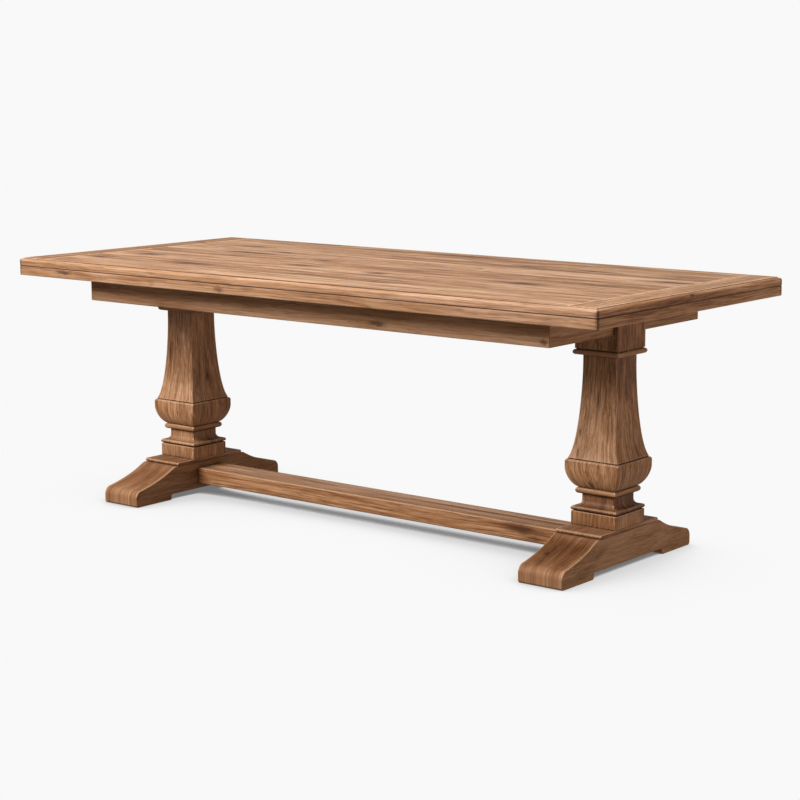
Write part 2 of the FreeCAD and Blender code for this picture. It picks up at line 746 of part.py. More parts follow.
def washer(z):
    ring = rod(WASHER_RADIUS, z, z + WASHER_THICK, LEG_X)
    return ring.cut(rod(ROD_RADIUS + HOLE_CLEAR, z, z + WASHER_THICK, LEG_X)).Solids[0]


def both_sides(*solids):
    return list(solids) + [turned(solid, 180) for solid in solids]


def build_tie_rods():
    foot_seat = ARCH_HEIGHT + NUT_RECESS
    low_nut = foot_seat - WASHER_THICK - NUT_HEIGHT
    top_seat = BLOCK_TOP + BEARER_WEB
    top_nut = top_seat + WASHER_THICK
    tie = rod(ROD_RADIUS, low_nut - ROD_PROUD, top_nut + NUT_HEIGHT + ROD_PROUD, LEG_X)
    save("tie_rods", *both_sides(tie))
    save("tie_nuts", *both_sides(hex_nut(low_nut), hex_nut(top_nut)))
    save("tie_washers", *both_sides(washer(foot_seat - WASHER_THICK), washer(top_seat)))


def glide(y):
    """Round glide and its threaded stem, screwed right in."""
    seat = GLIDE_CLEAR + GLIDE_THICK
    disc = rod(GLIDE_RADIUS, GLIDE_CLEAR, seat, LEG_X, y)
    disc = disc.makeChamfer(ARRIS, edges_where(disc, lambda b: b.XLength > GLIDE_RADIUS))
    return disc.fuse(rod(STEM_RADIUS, seat, seat + STEM_LENGTH, LEG_X, y)).removeSplitter().Solids[0]


def glide_insert(y):
    tube = rod(INSERT_RADIUS, GLIDE_DEPTH, GLIDE_DEPTH + INSERT_LENGTH, LEG_X, y)
    return drilled(tube, [rod(STEM_RADIUS + THREAD_CLEAR, 0, TABLE_HEIGHT, LEG_X, y)])


def build_glides():
    back = glide(PAD_MIDDLE)
    front = glide(-PAD_MIDDLE)
    save("glide_right_back", back)
    save("glide_right_front", front)
    save("glide_left_front", turned(back, 180))
    save("glide_left_back", turned(front, 180))
    save("glide_inserts", *both_sides(glide_insert(PAD_MIDDLE), glide_insert(-PAD_MIDDLE)))


def build_columns():
    save_pair("capital_block", capital_block())
    stack = (
        ("collar_bead", collar_bead(), COLLAR_UNDER),
        ("shaft", shaft(), BULB_TOP),
        ("bulb", bulb(), BEAD_TOP),
        ("bulb_bead", bulb_bead(), SCOTIA_TOP),
        ("base_scotia", base_scotia(), PLINTH_TOP),
        ("plinth", plinth(), CAP_TOP),
        ("foot_cap", foot_cap(), FOOT_HEIGHT),
    )
    for name, solid, z in stack:
        save_pair(name, place_column(solid, z))


os.makedirs("parts", exist_ok=True)
build_top()
build_apron()
build_columns()
save_pair("foot", foot())
save("stretcher", stretcher())
save("stretcher_dowels", *stretcher_dowels())
build_tie_rods()
build_glides()
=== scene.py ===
# %% [markdown]
# # Trestle dining table
# A rustic oak table: a plank top with breadboard ends in a moulded edge, an apron, two square
# moulded columns, sled feet and a low stretcher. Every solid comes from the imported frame, in
# metres, and stays where it is. This lesson dresses those solids: it gives each board its own
# grain, makes the small hardware with Geometry Nodes, and lights the table for its portrait.

# %% Load the frame
import math
import random

import bmesh
import bpy
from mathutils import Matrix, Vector


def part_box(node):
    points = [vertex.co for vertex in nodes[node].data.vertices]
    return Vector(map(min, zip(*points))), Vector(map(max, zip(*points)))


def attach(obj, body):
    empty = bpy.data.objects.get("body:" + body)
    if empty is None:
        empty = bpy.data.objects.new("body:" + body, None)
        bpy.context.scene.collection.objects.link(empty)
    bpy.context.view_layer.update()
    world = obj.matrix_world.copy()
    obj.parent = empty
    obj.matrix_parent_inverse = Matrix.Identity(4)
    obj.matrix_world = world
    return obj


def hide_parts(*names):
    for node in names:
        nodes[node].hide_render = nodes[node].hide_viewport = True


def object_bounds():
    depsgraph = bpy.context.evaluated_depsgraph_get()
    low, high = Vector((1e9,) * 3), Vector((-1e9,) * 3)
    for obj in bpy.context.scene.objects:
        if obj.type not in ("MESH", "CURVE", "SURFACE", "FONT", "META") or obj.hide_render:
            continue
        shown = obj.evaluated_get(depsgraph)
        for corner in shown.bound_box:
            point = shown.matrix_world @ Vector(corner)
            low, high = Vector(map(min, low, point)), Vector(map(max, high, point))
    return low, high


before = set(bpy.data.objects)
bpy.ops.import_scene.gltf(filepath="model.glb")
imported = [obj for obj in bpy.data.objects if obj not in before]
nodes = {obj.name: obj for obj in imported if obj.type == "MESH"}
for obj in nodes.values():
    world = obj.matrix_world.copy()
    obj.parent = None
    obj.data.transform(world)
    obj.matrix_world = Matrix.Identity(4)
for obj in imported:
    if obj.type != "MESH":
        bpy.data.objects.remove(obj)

scene = bpy.context.scene
cad_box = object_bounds()
MM = 0.001

# %% [markdown]
# ## Two small tools for node trees
# Colours are picked as sRGB hex values, as in any paint program, but a shader works in linear
# light, so one function converts them. A second function adds a node: it sets the node's options,
# fills the inputs that have a fixed value and links the ones that come from another node. It serves
# shader trees and geometry trees alike.

# %% Colour and node helpers
def linear(hex_colour):
    """Linear RGBA of an sRGB hex colour."""
    channels = [int(hex_colour[k:k + 2], 16) / 255 for k in (1, 3, 5)]
    return [c / 12.92 if c < 0.04045 else ((c + 0.055) / 1.055) ** 2.4 for c in channels] + [1.0]


def add_node(tree, kind, inputs=None, **options):
    """One node with its options set and its inputs filled or linked; a list links several."""
    node = tree.nodes.new(kind)
    for name, value in options.items():
        setattr(node, name, value)
    for socket, value in (inputs or {}).items():
        sources = value if isinstance(value, list) else [value]
        if isinstance(sources[0], bpy.types.NodeSocket):
            for source in sources:
                tree.links.new(source, node.inputs[socket])
        else:
            node.inputs[socket].default_value = value
    return node


print("mid oak is", [round(c, 3) for c in linear("#9c6c47")])

# %% [markdown]
# ## Oak figure
# Oak is a bundle of fibres. Along the board everything is long and slow, across it everything is
# short, so each layer of the figure is noise that is stretched along the grain. One node group
# holds the layers and every board uses it: slow wander bends the fibres, growth rings cut the
# surface in arches, bands of darker heartwood run the length, thin veins and open checks follow the
# fibres, and a dark glaze with painted shade lies in the quirks and hollows. Edges that look up
# get wear with a painted highlight, and upright arrises painted shade. A picture of boards would
# repeat, noise doesn't.
# Real rings are 2 to 4 mm apart, and real fibres and splits well under 1 mm wide, finer than a
# pixel of the portrait, so they are drawn coarser here.

# %% Noise that is stretched along the grain
NOISE_MIDDLE = 0.5
# Each size of the figure is a pair, in millimetres along and across the grain
WANDER = (520.0, 130.0)
WANDER_REACH = 30.0


def grain_noise(tree, place, size, detail=2.0, roughness=0.55):
    """Noise stretched along the grain: the figure's common thread."""
    along, across = size
    step = (1 / along, 1 / across, 1 / across)
    scaled = add_node(tree, "ShaderNodeVectorMath", {0: place, 1: step}, operation="MULTIPLY")
    settings = {"Vector": scaled.outputs[0], "Scale": 1.0, "Detail": detail, "Roughness": roughness}
    return add_node(tree, "ShaderNodeTexNoise", settings)


def bent_fibres(tree, place):
    """Place in the log after the fibres have wandered from side to side."""
    wander = grain_noise(tree, place, WANDER)
    centred = add_node(tree, "ShaderNodeVectorMath",
                       {0: wander.outputs["Color"], 1: [NOISE_MIDDLE] * 3}, operation="SUBTRACT")
    return add_node(tree, "ShaderNodeVectorMath",
                    {0: centred.outputs[0], 1: (0, WANDER_REACH, WANDER_REACH), 2: place},
                    operation="MULTIPLY_ADD").outputs[0]


print("fibres wander over", WANDER_REACH, "mm")

# %% Growth rings
RING = 13.0
RING_CURVE = ((0.0, 0.1), (0.22, 0.75), (0.85, 0.35), (1.0, 0.1))


def growth_rings(tree, place):
    """Saw-toothed rings round the heart of the log, which runs along X."""
    spoke = add_node(tree, "ShaderNodeVectorMath", {0: place, 1: (0, 1 / RING, 1 / RING)},
                     operation="MULTIPLY")
    radius = add_node(tree, "ShaderNodeVectorMath", {0: spoke.outputs[0]}, operation="LENGTH")
    phase = add_node(tree, "ShaderNodeMath", {0: radius.outputs["Value"]}, operation="FRACT")
    ring = add_node(tree, "ShaderNodeFloatCurve", {"Value": phase.outputs[0]})
    curve = ring.mapping.curves[0]
    for share, height in RING_CURVE[1:-1]:
        curve.points.new(share, height)
    curve.points[0].location = RING_CURVE[0]
    curve.points[-1].location = RING_CURVE[-1]
    ring.mapping.update()
    return ring.outputs[0]


print("rings are drawn", RING, "mm apart")

# %% Veins, splits and worm holes
# A pair called STARTS says at which value of the noise a mark starts and at which it is full.
# Splits and worm holes are drawn wider than real ones, so that they show at the portrait's size
SMOOTH = {"interpolation_type": "SMOOTHSTEP"}
VEIN = (420.0, 22.0)
VEIN_HALF = 0.025
CHECK = (80.0, 2.4)
CHECK_GAIN = 0.06
CHECK_STARTS = (0.62, 0.71)
CHECK_PATCH = (380.0, 70.0)
CHECK_PATCH_STARTS = (0.4, 0.54)
WORM_SPACING = 85.0
WORM_RADIUS = 1.6
WORM_CORE = 0.6


def veins(tree, place):
    """Thin dark lines where a slow noise crosses its middle."""
    noise = grain_noise(tree, place, VEIN, detail=3.0)
    offset = add_node(tree, "ShaderNodeMath", {0: noise.outputs[0], 1: NOISE_MIDDLE},
                      operation="SUBTRACT")
    away = add_node(tree, "ShaderNodeMath", {0: offset.outputs[0]}, operation="ABSOLUTE")
    return add_node(tree, "ShaderNodeMapRange", {0: away.outputs[0], 1: VEIN_HALF, 2: 0.0},
                    **SMOOTH).outputs[0]


def open_checks(tree, place, bent, amount):
    """Short dark splits that come in patches; a larger amount gives more and darker ones."""
    split = grain_noise(tree, bent, CHECK, detail=1.0).outputs[0]
    patch = grain_noise(tree, place, CHECK_PATCH, detail=1.0).outputs[0]
    split = add_node(tree, "ShaderNodeMath", {0: amount, 1: CHECK_GAIN, 2: split},
                     operation="MULTIPLY_ADD").outputs[0]
    split = add_node(tree, "ShaderNodeMapRange",
                     {0: split, 1: CHECK_STARTS[0], 2: CHECK_STARTS[1], 4: amount},
                     **SMOOTH).outputs[0]
    patch = add_node(tree, "ShaderNodeMapRange",
                     {0: patch, 1: CHECK_PATCH_STARTS[0], 2: CHECK_PATCH_STARTS[1]},
                     **SMOOTH).outputs[0]
    return add_node(tree, "ShaderNodeMath", {0: split, 1: patch}, operation="MULTIPLY").outputs[0]


def worm_holes(tree, place):
    """Small round dots, far apart."""
    step = add_node(tree, "ShaderNodeVectorMath", {0: place, "Scale": 1 / WORM_SPACING},
                    operation="SCALE")
    cell = add_node(tree, "ShaderNodeTexVoronoi", {"Vector": step.outputs[0], "Scale": 1.0})
    reach = WORM_RADIUS / WORM_SPACING
    return add_node(tree, "ShaderNodeMapRange",
                    {0: cell.outputs["Distance"], 1: reach, 2: WORM_CORE * reach},
                    **SMOOTH).outputs[0]


print("splits are", CHECK[1], "mm wide, worm holes", 2 * WORM_RADIUS, "mm")

# %% Glaze and painted shade in the hollows, wear, painted highlight and painted shade on the edges
# Each pair says where a mark starts and where it is full: OPEN is the open share round a point,
# LOOKS_UP the upward part of the normal, TURNS how far the rounded normal agrees with the flat one
# The quirk mark is glaze with painted shade, the hollow mark painted shade
QUIRK_REACH = 10.0
QUIRK_OPEN = (0.74, 0.42)
HOLLOW_REACH = 45.0
HOLLOW_OPEN = (1.0, 0.35)
# The rub mark is wear with a painted highlight, kept to edges that look up
RUB_AND_HIGHLIGHT_REACH = 6.0
RUB_AND_HIGHLIGHT_OPEN = (0.98, 0.7)
RUB_AND_HIGHLIGHT_LOOKS_UP = (0.1, 0.35)
# The arris mark is painted shade on upright edges and on edges that look down
ARRIS_LOOKS_UP = (0.3, 0.1)
ARRIS_TURNS = (0.99, 0.8)


def glaze_and_painted_shade(tree, quirk, hollow):
    """Glaze gathered in the quirks with painted shade, black there, and a thin veil of painted shade
    in the wider hollows.
    """
    near = add_node(tree, "ShaderNodeAmbientOcclusion", {"Distance": QUIRK_REACH * MM}, samples=8)
    near = add_node(tree, "ShaderNodeMapRange",
                    {0: near.outputs["AO"], 1: QUIRK_OPEN[0], 2: QUIRK_OPEN[1], 4: quirk}, **SMOOTH)
    wide = add_node(tree, "ShaderNodeAmbientOcclusion", {"Distance": HOLLOW_REACH * MM}, samples=8)
    wide = add_node(tree, "ShaderNodeMapRange",
                    {0: wide.outputs["AO"], 1: HOLLOW_OPEN[0], 2: HOLLOW_OPEN[1], 4: hollow})
    return add_node(tree, "ShaderNodeMath", {0: near.outputs[0], 1: wide.outputs[0]},
                    operation="MAXIMUM").outputs[0]


def edges(tree, soft):
    """Edges that look up, worn with a painted highlight, and sharp upright arrises with painted
    shade, as two masks.
    """
    facing = add_node(tree, "ShaderNodeNewGeometry").outputs["Normal"]
    up = add_node(tree, "ShaderNodeSeparateXYZ", {0: soft}).outputs["Z"]
    thin = add_node(tree, "ShaderNodeAmbientOcclusion", {"Distance": RUB_AND_HIGHLIGHT_REACH * MM},
                    samples=8, inside=True)
    raised = add_node(tree, "ShaderNodeMapRange", {0: up, 1: RUB_AND_HIGHLIGHT_LOOKS_UP[0], 2: RUB_AND_HIGHLIGHT_LOOKS_UP[1]},
                      **SMOOTH)
    rubbed_and_lit = add_node(tree, "ShaderNodeMapRange",
                      {0: thin.outputs["AO"], 1: RUB_AND_HIGHLIGHT_OPEN[0], 2: RUB_AND_HIGHLIGHT_OPEN[1],
                       4: raised.outputs[0]}, **SMOOTH)
    agree = add_node(tree, "ShaderNodeVectorMath", {0: soft, 1: facing}, operation="DOT_PRODUCT")
    upright = add_node(tree, "ShaderNodeMapRange",
                       {0: up, 1: ARRIS_LOOKS_UP[0], 2: ARRIS_LOOKS_UP[1]}, **SMOOTH)
    arris = add_node(tree, "ShaderNodeMapRange",
                     {0: agree.outputs["Value"], 1: ARRIS_TURNS[0], 2: ARRIS_TURNS[1],
                      4: upright.outputs[0]}, **SMOOTH)
    return rubbed_and_lit.outputs[0], arris.outputs[0]


# The glaze carries painted shade, and the wear a painted highlight
print("glaze reaches", QUIRK_REACH, "mm out of a quirk, wear", RUB_AND_HIGHLIGHT_REACH, "mm in from an edge")

# %% Sizes and colours of the figure
BAND = (900.0, 46.0)
STREAK = (360.0, 12.0)
LINE = (200.0, 4.0)
FIBRE = (60.0, 1.7)
LAYER_SHARES = {"band": 0.8, "streak": 1.1, "line": 1.6, "fibre": 1.0, "ring": 0.16}
OAK_TONES = ((0.0, "#56331b"), (0.28, "#865733"), (0.5, "#a47650"), (0.72, "#bd906d"),
             (1.0, "#d6ad8b"))
MARKS = {
    # colour and strength of each mark, from the lowest to the topmost
    # The pale rub mark is wear with a painted highlight; dark marks, glaze and arris carry painted
    # shade
    "vein": ("#3f2717", 0.28), "rubbed_and_lit": ("#dcb391", 0.7), "dark_mark": ("#3b1d0b", 1.0),
    "check": ("#3a2414", 0.65), "worm": ("#22150d", 0.9), "glaze_and_shade": ("#2f1b0e", 0.85),
    "arris": ("#2a190e", 0.5),
}
ARRIS_RADIUS = 1.8
WAX_ROUGHNESS = (0.62, 0.44)
WAX_STARTS = (0.3, 0.7)
GRAIN_RELIEF = 0.5
GRAIN_STRENGTH = 0.35
CHECK_DEPTH = 1.5
FIGURE_SOCKETS = {
    "INPUT": (("Place", "Vector"), ("Dark Mark", "Float"), ("Lift", "Float"), ("Tone", "Float"),
              ("Figure", "Float"), ("Checks", "Float"), ("Quirk", "Float"), ("Hollow", "Float"),
              ("Rub And Highlight", "Float"), ("Stain", "Color")),
    "OUTPUT": (("Color", "Color"), ("Roughness", "Float"), ("Normal", "Vector")),
}
print(len(LAYER_SHARES), "layers and", len(MARKS), "kinds of mark")


# %% Build the oak figure as a node group
def oak_figure():
    """Node group with the colour, sheen and relief of oak at a place in a log."""
    tree = bpy.data.node_groups.new("oak_figure", "ShaderNodeTree")
    for way, sockets in FIGURE_SOCKETS.items():
        for name, kind in sockets:
            tree.interface.new_socket(name, in_out=way, socket_type="NodeSocket" + kind)
    given = tree.nodes.new("NodeGroupInput").outputs
    bent = bent_fibres(tree, given["Place"])
    line = grain_noise(tree, bent, LINE, detail=3.0, roughness=0.6).outputs[0]
    fibre = grain_noise(tree, bent, FIBRE, detail=3.0, roughness=0.65).outputs[0]
    check = open_checks(tree, given["Place"], bent, given["Checks"])
    soft = add_node(tree, "ShaderNodeBevel", {"Radius": ARRIS_RADIUS * MM}, samples=6).outputs[0]

    # Light and dark of the figure, from slow bands to fine fibres
    layers = {"band": grain_noise(tree, bent, BAND, detail=3.0).outputs[0],
              "streak": grain_noise(tree, bent, STREAK, detail=3.0).outputs[0],
              "line": line, "fibre": fibre, "ring": growth_rings(tree, bent)}
    shade = given["Lift"]
    for layer, share in LAYER_SHARES.items():
        lift = add_node(tree, "ShaderNodeMath", {0: layers[layer], 1: NOISE_MIDDLE},
                        operation="SUBTRACT")
        shade = add_node(tree, "ShaderNodeMath", {0: lift.outputs[0], 1: share, 2: shade},
                         operation="MULTIPLY_ADD").outputs[0]
    shade = add_node(tree, "ShaderNodeMath", {0: shade, 1: given["Figure"], 2: given["Tone"]},
                     operation="MULTIPLY_ADD").outputs[0]
    wood = add_node(tree, "ShaderNodeValToRGB", {"Fac": shade})
    stops = wood.color_ramp.elements
    stops[0].color = linear(OAK_TONES[0][1])
    stops[1].color = linear(OAK_TONES[-1][1])
    for position, tone in OAK_TONES[1:-1]:
        stops.new(position).color = linear(tone)

    # Stain over the whole board, then each kind of mark in turn, painted highlight and painted shade
    # among them
    rubbed_and_lit, arris = edges(tree, soft)
    rubbed_and_lit = add_node(tree, "ShaderNodeMath", {0: rubbed_and_lit, 1: given["Rub And Highlight"]},
                      operation="MULTIPLY").outputs[0]
    # Painted shade on the arrises, as strong as the glaze in the quirks
    arris = add_node(tree, "ShaderNodeMath", {0: arris, 1: given["Quirk"]},
                     operation="MULTIPLY").outputs[0]
    masks = {"vein": veins(tree, bent), "rubbed_and_lit": rubbed_and_lit, "dark_mark": given["Dark Mark"], "check": check,
             "worm": worm_holes(tree, given["Place"]), "arris": arris,
             "glaze_and_shade": glaze_and_painted_shade(tree, given["Quirk"], given["Hollow"])}
    colour = add_node(tree, "ShaderNodeMix", {0: 1.0, 6: wood.outputs["Color"], 7: given["Stain"]},
                      data_type="RGBA", blend_type="MULTIPLY").outputs[2]
    for mark, (tint, strength) in MARKS.items():
        share = add_node(tree, "ShaderNodeMath", {0: masks[mark], 1: strength},
                         operation="MULTIPLY")
        colour = add_node(tree, "ShaderNodeMix", {0: share.outputs[0], 6: colour, 7: linear(tint)},
                          data_type="RGBA").outputs[2]

    # Wax shines more on hard pale fibres, and the splits are sunk
    rough = add_node(tree, "ShaderNodeMapRange",
                     {0: fibre, 1: WAX_STARTS[0], 2: WAX_STARTS[1],
                      3: WAX_ROUGHNESS[0], 4: WAX_ROUGHNESS[1]}, **SMOOTH)
    ridge = add_node(tree, "ShaderNodeMath", {0: fibre, 1: line}, operation="ADD")
    relief = add_node(tree, "ShaderNodeMath", {0: check, 1: -CHECK_DEPTH, 2: ridge.outputs[0]},
                      operation="MULTIPLY_ADD")
    bump = add_node(tree, "ShaderNodeBump",
                    {"Height": relief.outputs[0], "Strength": GRAIN_STRENGTH,
                     "Distance": GRAIN_RELIEF * MM, "Normal": soft})
    add_node(tree, "NodeGroupOutput", {"Color": colour, "Roughness": rough.outputs[0],
                                       "Normal": bump.outputs[0]})
    return tree


OAK = oak_figure()
print("oak figure has", len(OAK.nodes), "nodes")

# %% [markdown]
# ## Each board from its own log
# No two boards of a real table match, so each piece gets its own copy of the material. A Mapping
# node turns the piece's length onto the grain's X and moves the piece to its own place in a log: a
# board near the heart shows arches, one far from it shows straight lines. On the moulded pieces the
# lines follow the profile, as they do on a curved cut: on a column the square section is scaled to
# one size all the way up, round a bead the lines run along each of its four lengths, and on a foot
# the height counts only on its two sides. Knots are dark, ragged ellipsoids, because a knot is the
# foot of a branch inside the wood, and sapwood or heartwood makes patches lighter or darker. The
# same dark patches also draw dirt and painted shade lines, and lighter or darker patches also draw
# painted light and painted shade.

# %% Grain that follows the form of a piece
GRAIN_TURN = {"X": (0, 0, 0), "Y": (0, 0, -math.pi / 2), "Z": (0, math.pi / 2, 0),
              "round": (0, 0, 0)}
SIDE_STARTS = (0.3, 0.7)


def along_column(tree, place, half):
    """Place with the square section of a column scaled to one half width at every height."""
    size = add_node(tree, "ShaderNodeVectorMath", {0: place}, operation="ABSOLUTE")
    axes = add_node(tree, "ShaderNodeSeparateXYZ", {0: size.outputs[0]}).outputs
    widest = add_node(tree, "ShaderNodeMath", {0: axes["X"], 1: axes["Y"]}, operation="MAXIMUM")
    scale = add_node(tree, "ShaderNodeMath", {0: half, 1: widest.outputs[0]},
                     operation="DIVIDE").outputs[0]
    spread = add_node(tree, "ShaderNodeCombineXYZ", {"X": scale, "Y": scale, "Z": 1.0})
    return add_node(tree, "ShaderNodeVectorMath", {0: place, 1: spread.outputs[0]},
                    operation="MULTIPLY")


def along_bead(tree, place):
    """Place whose X runs along whichever side of a square bead it is on."""
    axes = add_node(tree, "ShaderNodeSeparateXYZ", {0: place}).outputs
    run = add_node(tree, "ShaderNodeMath", {0: axes["X"], 1: axes["Y"]}, operation="ADD")
    return add_node(tree, "ShaderNodeCombineXYZ", {"X": run.outputs[0], "Y": 0.0, "Z": axes["Z"]})


def along_slope(tree, place):
    """Place whose height counts on the two sides of a foot and not on its slopes."""
    facing = add_node(tree, "ShaderNodeNewGeometry").outputs["Normal"]
    size = add_node(tree, "ShaderNodeVectorMath", {0: facing}, operation="ABSOLUTE")
    axes = add_node(tree, "ShaderNodeSeparateXYZ", {0: size.outputs[0]}).outputs
    share = add_node(tree, "ShaderNodeMapRange",
                     {0: axes["X"], 1: SIDE_STARTS[0], 2: SIDE_STARTS[1]}, **SMOOTH).outputs[0]
    spread = add_node(tree, "ShaderNodeCombineXYZ", {"X": 1.0, "Y": 1.0, "Z": share})
    return add_node(tree, "ShaderNodeVectorMath", {0: place, 1: spread.outputs[0]},
                    operation="MULTIPLY")


print("grain can run along", ", ".join(GRAIN_TURN))

# %% Patches of another shade
RAGGED_GRAIN = 1.7
RAGGED_REACH = 1.4
PATCH_STARTS = (1.75, 0.85)


def patches(tree, place, marks):
    """Sum of ragged patches, each a place and three reaches in millimetres, and a depth."""
    total = 0.0
    for middle, reach, depth in marks:
        local = add_node(tree, "ShaderNodeMapping",
                         {"Vector": place, "Scale": [1 / MM / r for r in reach],
                          "Location": [-m / r for m, r in zip(middle, reach)]}).outputs[0]
        ragged = add_node(tree, "ShaderNodeTexNoise",
                          {"Vector": local, "Scale": RAGGED_GRAIN, "Detail": 3.0}).outputs[0]
        away = add_node(tree, "ShaderNodeVectorMath", {0: local}, operation="LENGTH")
        edge = add_node(tree, "ShaderNodeMath",
                        {0: ragged, 1: RAGGED_REACH, 2: away.outputs["Value"]},
                        operation="MULTIPLY_ADD")
        patch = add_node(tree, "ShaderNodeMapRange",
                         {0: edge.outputs[0], 1: PATCH_STARTS[0], 2: PATCH_STARTS[1], 4: depth},
                         **SMOOTH)
        total = add_node(tree, "ShaderNodeMath", {0: patch.outputs[0], 1: total},
                         operation="ADD").outputs[0]
    return total


print("patches end near", PATCH_STARTS[0] - RAGGED_REACH * NOISE_MIDDLE, "of their reach")

# %% Oak for one piece
# Planing shows the long grain, glaze and painted shade darken the quirks and hollows, and wax
# gives a low, broad sheen
LOG_LENGTH = 3000.0
LOG_SIDE = 60.0
LOG_HEART = (55.0, 150.0)


def oak(name, grain, tone, dark_marks=(), lifts=(), stain="#ffffff", run=1.0, broad=1.0,
        figure=0.8, checks=0.5, quirk=1.0, hollow=0.3, rub_and_highlight=1.0, wax=0.2):
    """Planed, stained and waxed oak; run and broad stretch its lines along and across the grain."""
    lo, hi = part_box(name)
    middle = (lo + hi) / 2 / MM
    draw = random.Random(name)
    place_in_log = (draw.uniform(0, LOG_LENGTH), draw.uniform(-LOG_SIDE, LOG_SIDE),
                    draw.uniform(*LOG_HEART))
    material = bpy.data.materials.new("waxed_oak_" + name)
    material.use_nodes = True
    tree = material.node_tree
    place = add_node(tree, "ShaderNodeTexCoord").outputs["Object"]
    centred = add_node(tree, "ShaderNodeMapping", {"Vector": place, "Scale": [1 / MM] * 3,
                                                   "Location": -middle})
    if grain == "Z":
        centred = along_column(tree, centred.outputs[0], (hi.y - lo.y) / 2 / MM)
    if grain == "round":
        centred = along_bead(tree, centred.outputs[0])
    if name.startswith("foot"):
        centred = along_slope(tree, centred.outputs[0])
    lengths = [1 / run if axis == grain else 1 / broad for axis in "XYZ"]
    turned = add_node(tree, "ShaderNodeMapping",
                      {"Vector": centred.outputs[0], "Location": place_in_log,
                       "Rotation": GRAIN_TURN[grain], "Scale": lengths})
    group = tree.nodes.new("ShaderNodeGroup")
    group.node_tree = OAK
    tree.links.new(turned.outputs[0], group.inputs["Place"])
    # The dark marks are knots, dirt and painted shade lines; the lifts add tone, painted light and
    # painted shade
    for socket, marks in (("Dark Mark", dark_marks), ("Lift", lifts)):
        if marks:
            tree.links.new(patches(tree, place, marks), group.inputs[socket])
    for socket, value in (("Tone", tone), ("Figure", figure), ("Checks", checks), ("Quirk", quirk),
                          ("Hollow", hollow), ("Rub And Highlight", rub_and_highlight), ("Stain", linear(stain))):
        group.inputs[socket].default_value = value
    shader = tree.nodes["Principled BSDF"]
    shader.inputs["Specular IOR Level"].default_value = wax
    for socket, target in (("Color", "Base Color"), ("Roughness", "Roughness"),
                           ("Normal", "Normal")):
        tree.links.new(group.outputs[socket], shader.inputs[target])
    return material


def dress(name, material):
    """Give a node's object one material."""
    slots = nodes[name].material_slots
    if not slots:
        nodes[name].data.materials.append(material)
    for slot in slots:
        slot.link = "OBJECT"
        slot.material = material


print("boards lie", *LOG_HEART, "mm from the heart of a log")

# %% [markdown]
# ## Dress the wood
# The marks that give this table its character are listed one by one: the dark knots and mineral
# stains of the planks, the small eyes on the front edge, the dirt that gathers along the seams and
# in the open mitres at the four corners. Patches of sapwood lift the tone and heartwood lowers it,
# and other patches are painted light and painted shade: lighter on lit faces, darker on shaded ones,
# with painted shade lines under beads and caps and along the grooves. Such marks could come from
# noise too, but then none would lie where the portrait has it. Each mark is (place), (reach), depth,
# the lengths in millimetres.

# %% Knots and stains
TOP_Z = cad_box[1].z / MM
PLANK_KNOTS = (
    ((-605, 73), (105, 34)), ((-512, 148), (26, 18)), ((-725, 248), (60, 18)),
    ((-245, 32), (34, 14)), ((-205, -118), (62, 30)), ((-818, -143), (48, 38)),
    ((-512, -268), (72, 32)), ((-872, -293), (30, 20)), ((108, -155), (30, 32)),
    ((190, -208), (110, 9)), ((260, -330), (36, 20)), ((588, -120), (56, 36)),
    ((328, 65), (14, 20)), ((195, 25), (36, 14)), ((255, 132), (12, 12)), ((888, 140), (60, 34)),
    ((568, 257), (66, 18)), ((335, 265), (48, 15)), ((142, 273), (40, 12)), ((48, 390), (95, 22)),
    ((848, 273), (44, 11)), ((-30, -293), (50, 12)),
)
FRAME_KNOTS = {
    "edge_strip_front": (((-852, -465, 727), (46, 20, 9), 0.8),
                         ((-212, -465, 721), (26, 20, 13), 0.6)),
    "edge_strip_right": (((1050, -20, 754), (20, 16, 6), 0.8),),
    "apron_front": (((282, -366, 655), (42, 20, 12), 0.75), ((825, -366, 650), (16, 20, 12), 0.7)),
    "stretcher": (((538, -53, 68), (75, 20, 22), 0.7), ((585, -53, 46), (40, 20, 7), 0.6),
                  ((420, 4, 84), (700, 11, 20), 0.75), ((-250, 10, 84), (120, 12, 20), 0.5)),
    "breadboard_right": (((962, -335, TOP_Z), (9, 34, 20), 0.8),),
    "breadboard_left": (((-985, 257, TOP_Z), (36, 20, 20), 0.8),),
    "foot_right": (((752, -235, 68), (12, 16, 15), 0.85),
                   ((756, -215, 80), (7, 24, 15), 0.8), ((812, -168, 103), (16, 8, 15), 0.7)),
    "shaft_right": (((788, -56, 455), (4.5, 20, 46), 0.9), ((738, -60, 366), (5, 20, 16), 0.8),
                    ((736, -72, 313), (5, 20, 18), 0.8), ((842, 0, 485), (25, 11, 46), 0.7),
                    ((858, 30, 310), (25, 5, 26), 0.8)),
    "shaft_left": (((-730, 3, 372), (25, 11, 27), 1.0), ((-735, 4, 440), (25, 6, 60), 0.6),
                   ((-826, -57, 438), (7, 20, 44), 0.7), ((-795, -56, 480), (5, 20, 30), 0.7)),
    "bulb_right": (((781, -75, 226), (14, 25, 20), 0.8),),
    "bulb_left": (((-770, -85, 258), (4, 25, 5), 0.8),),
}
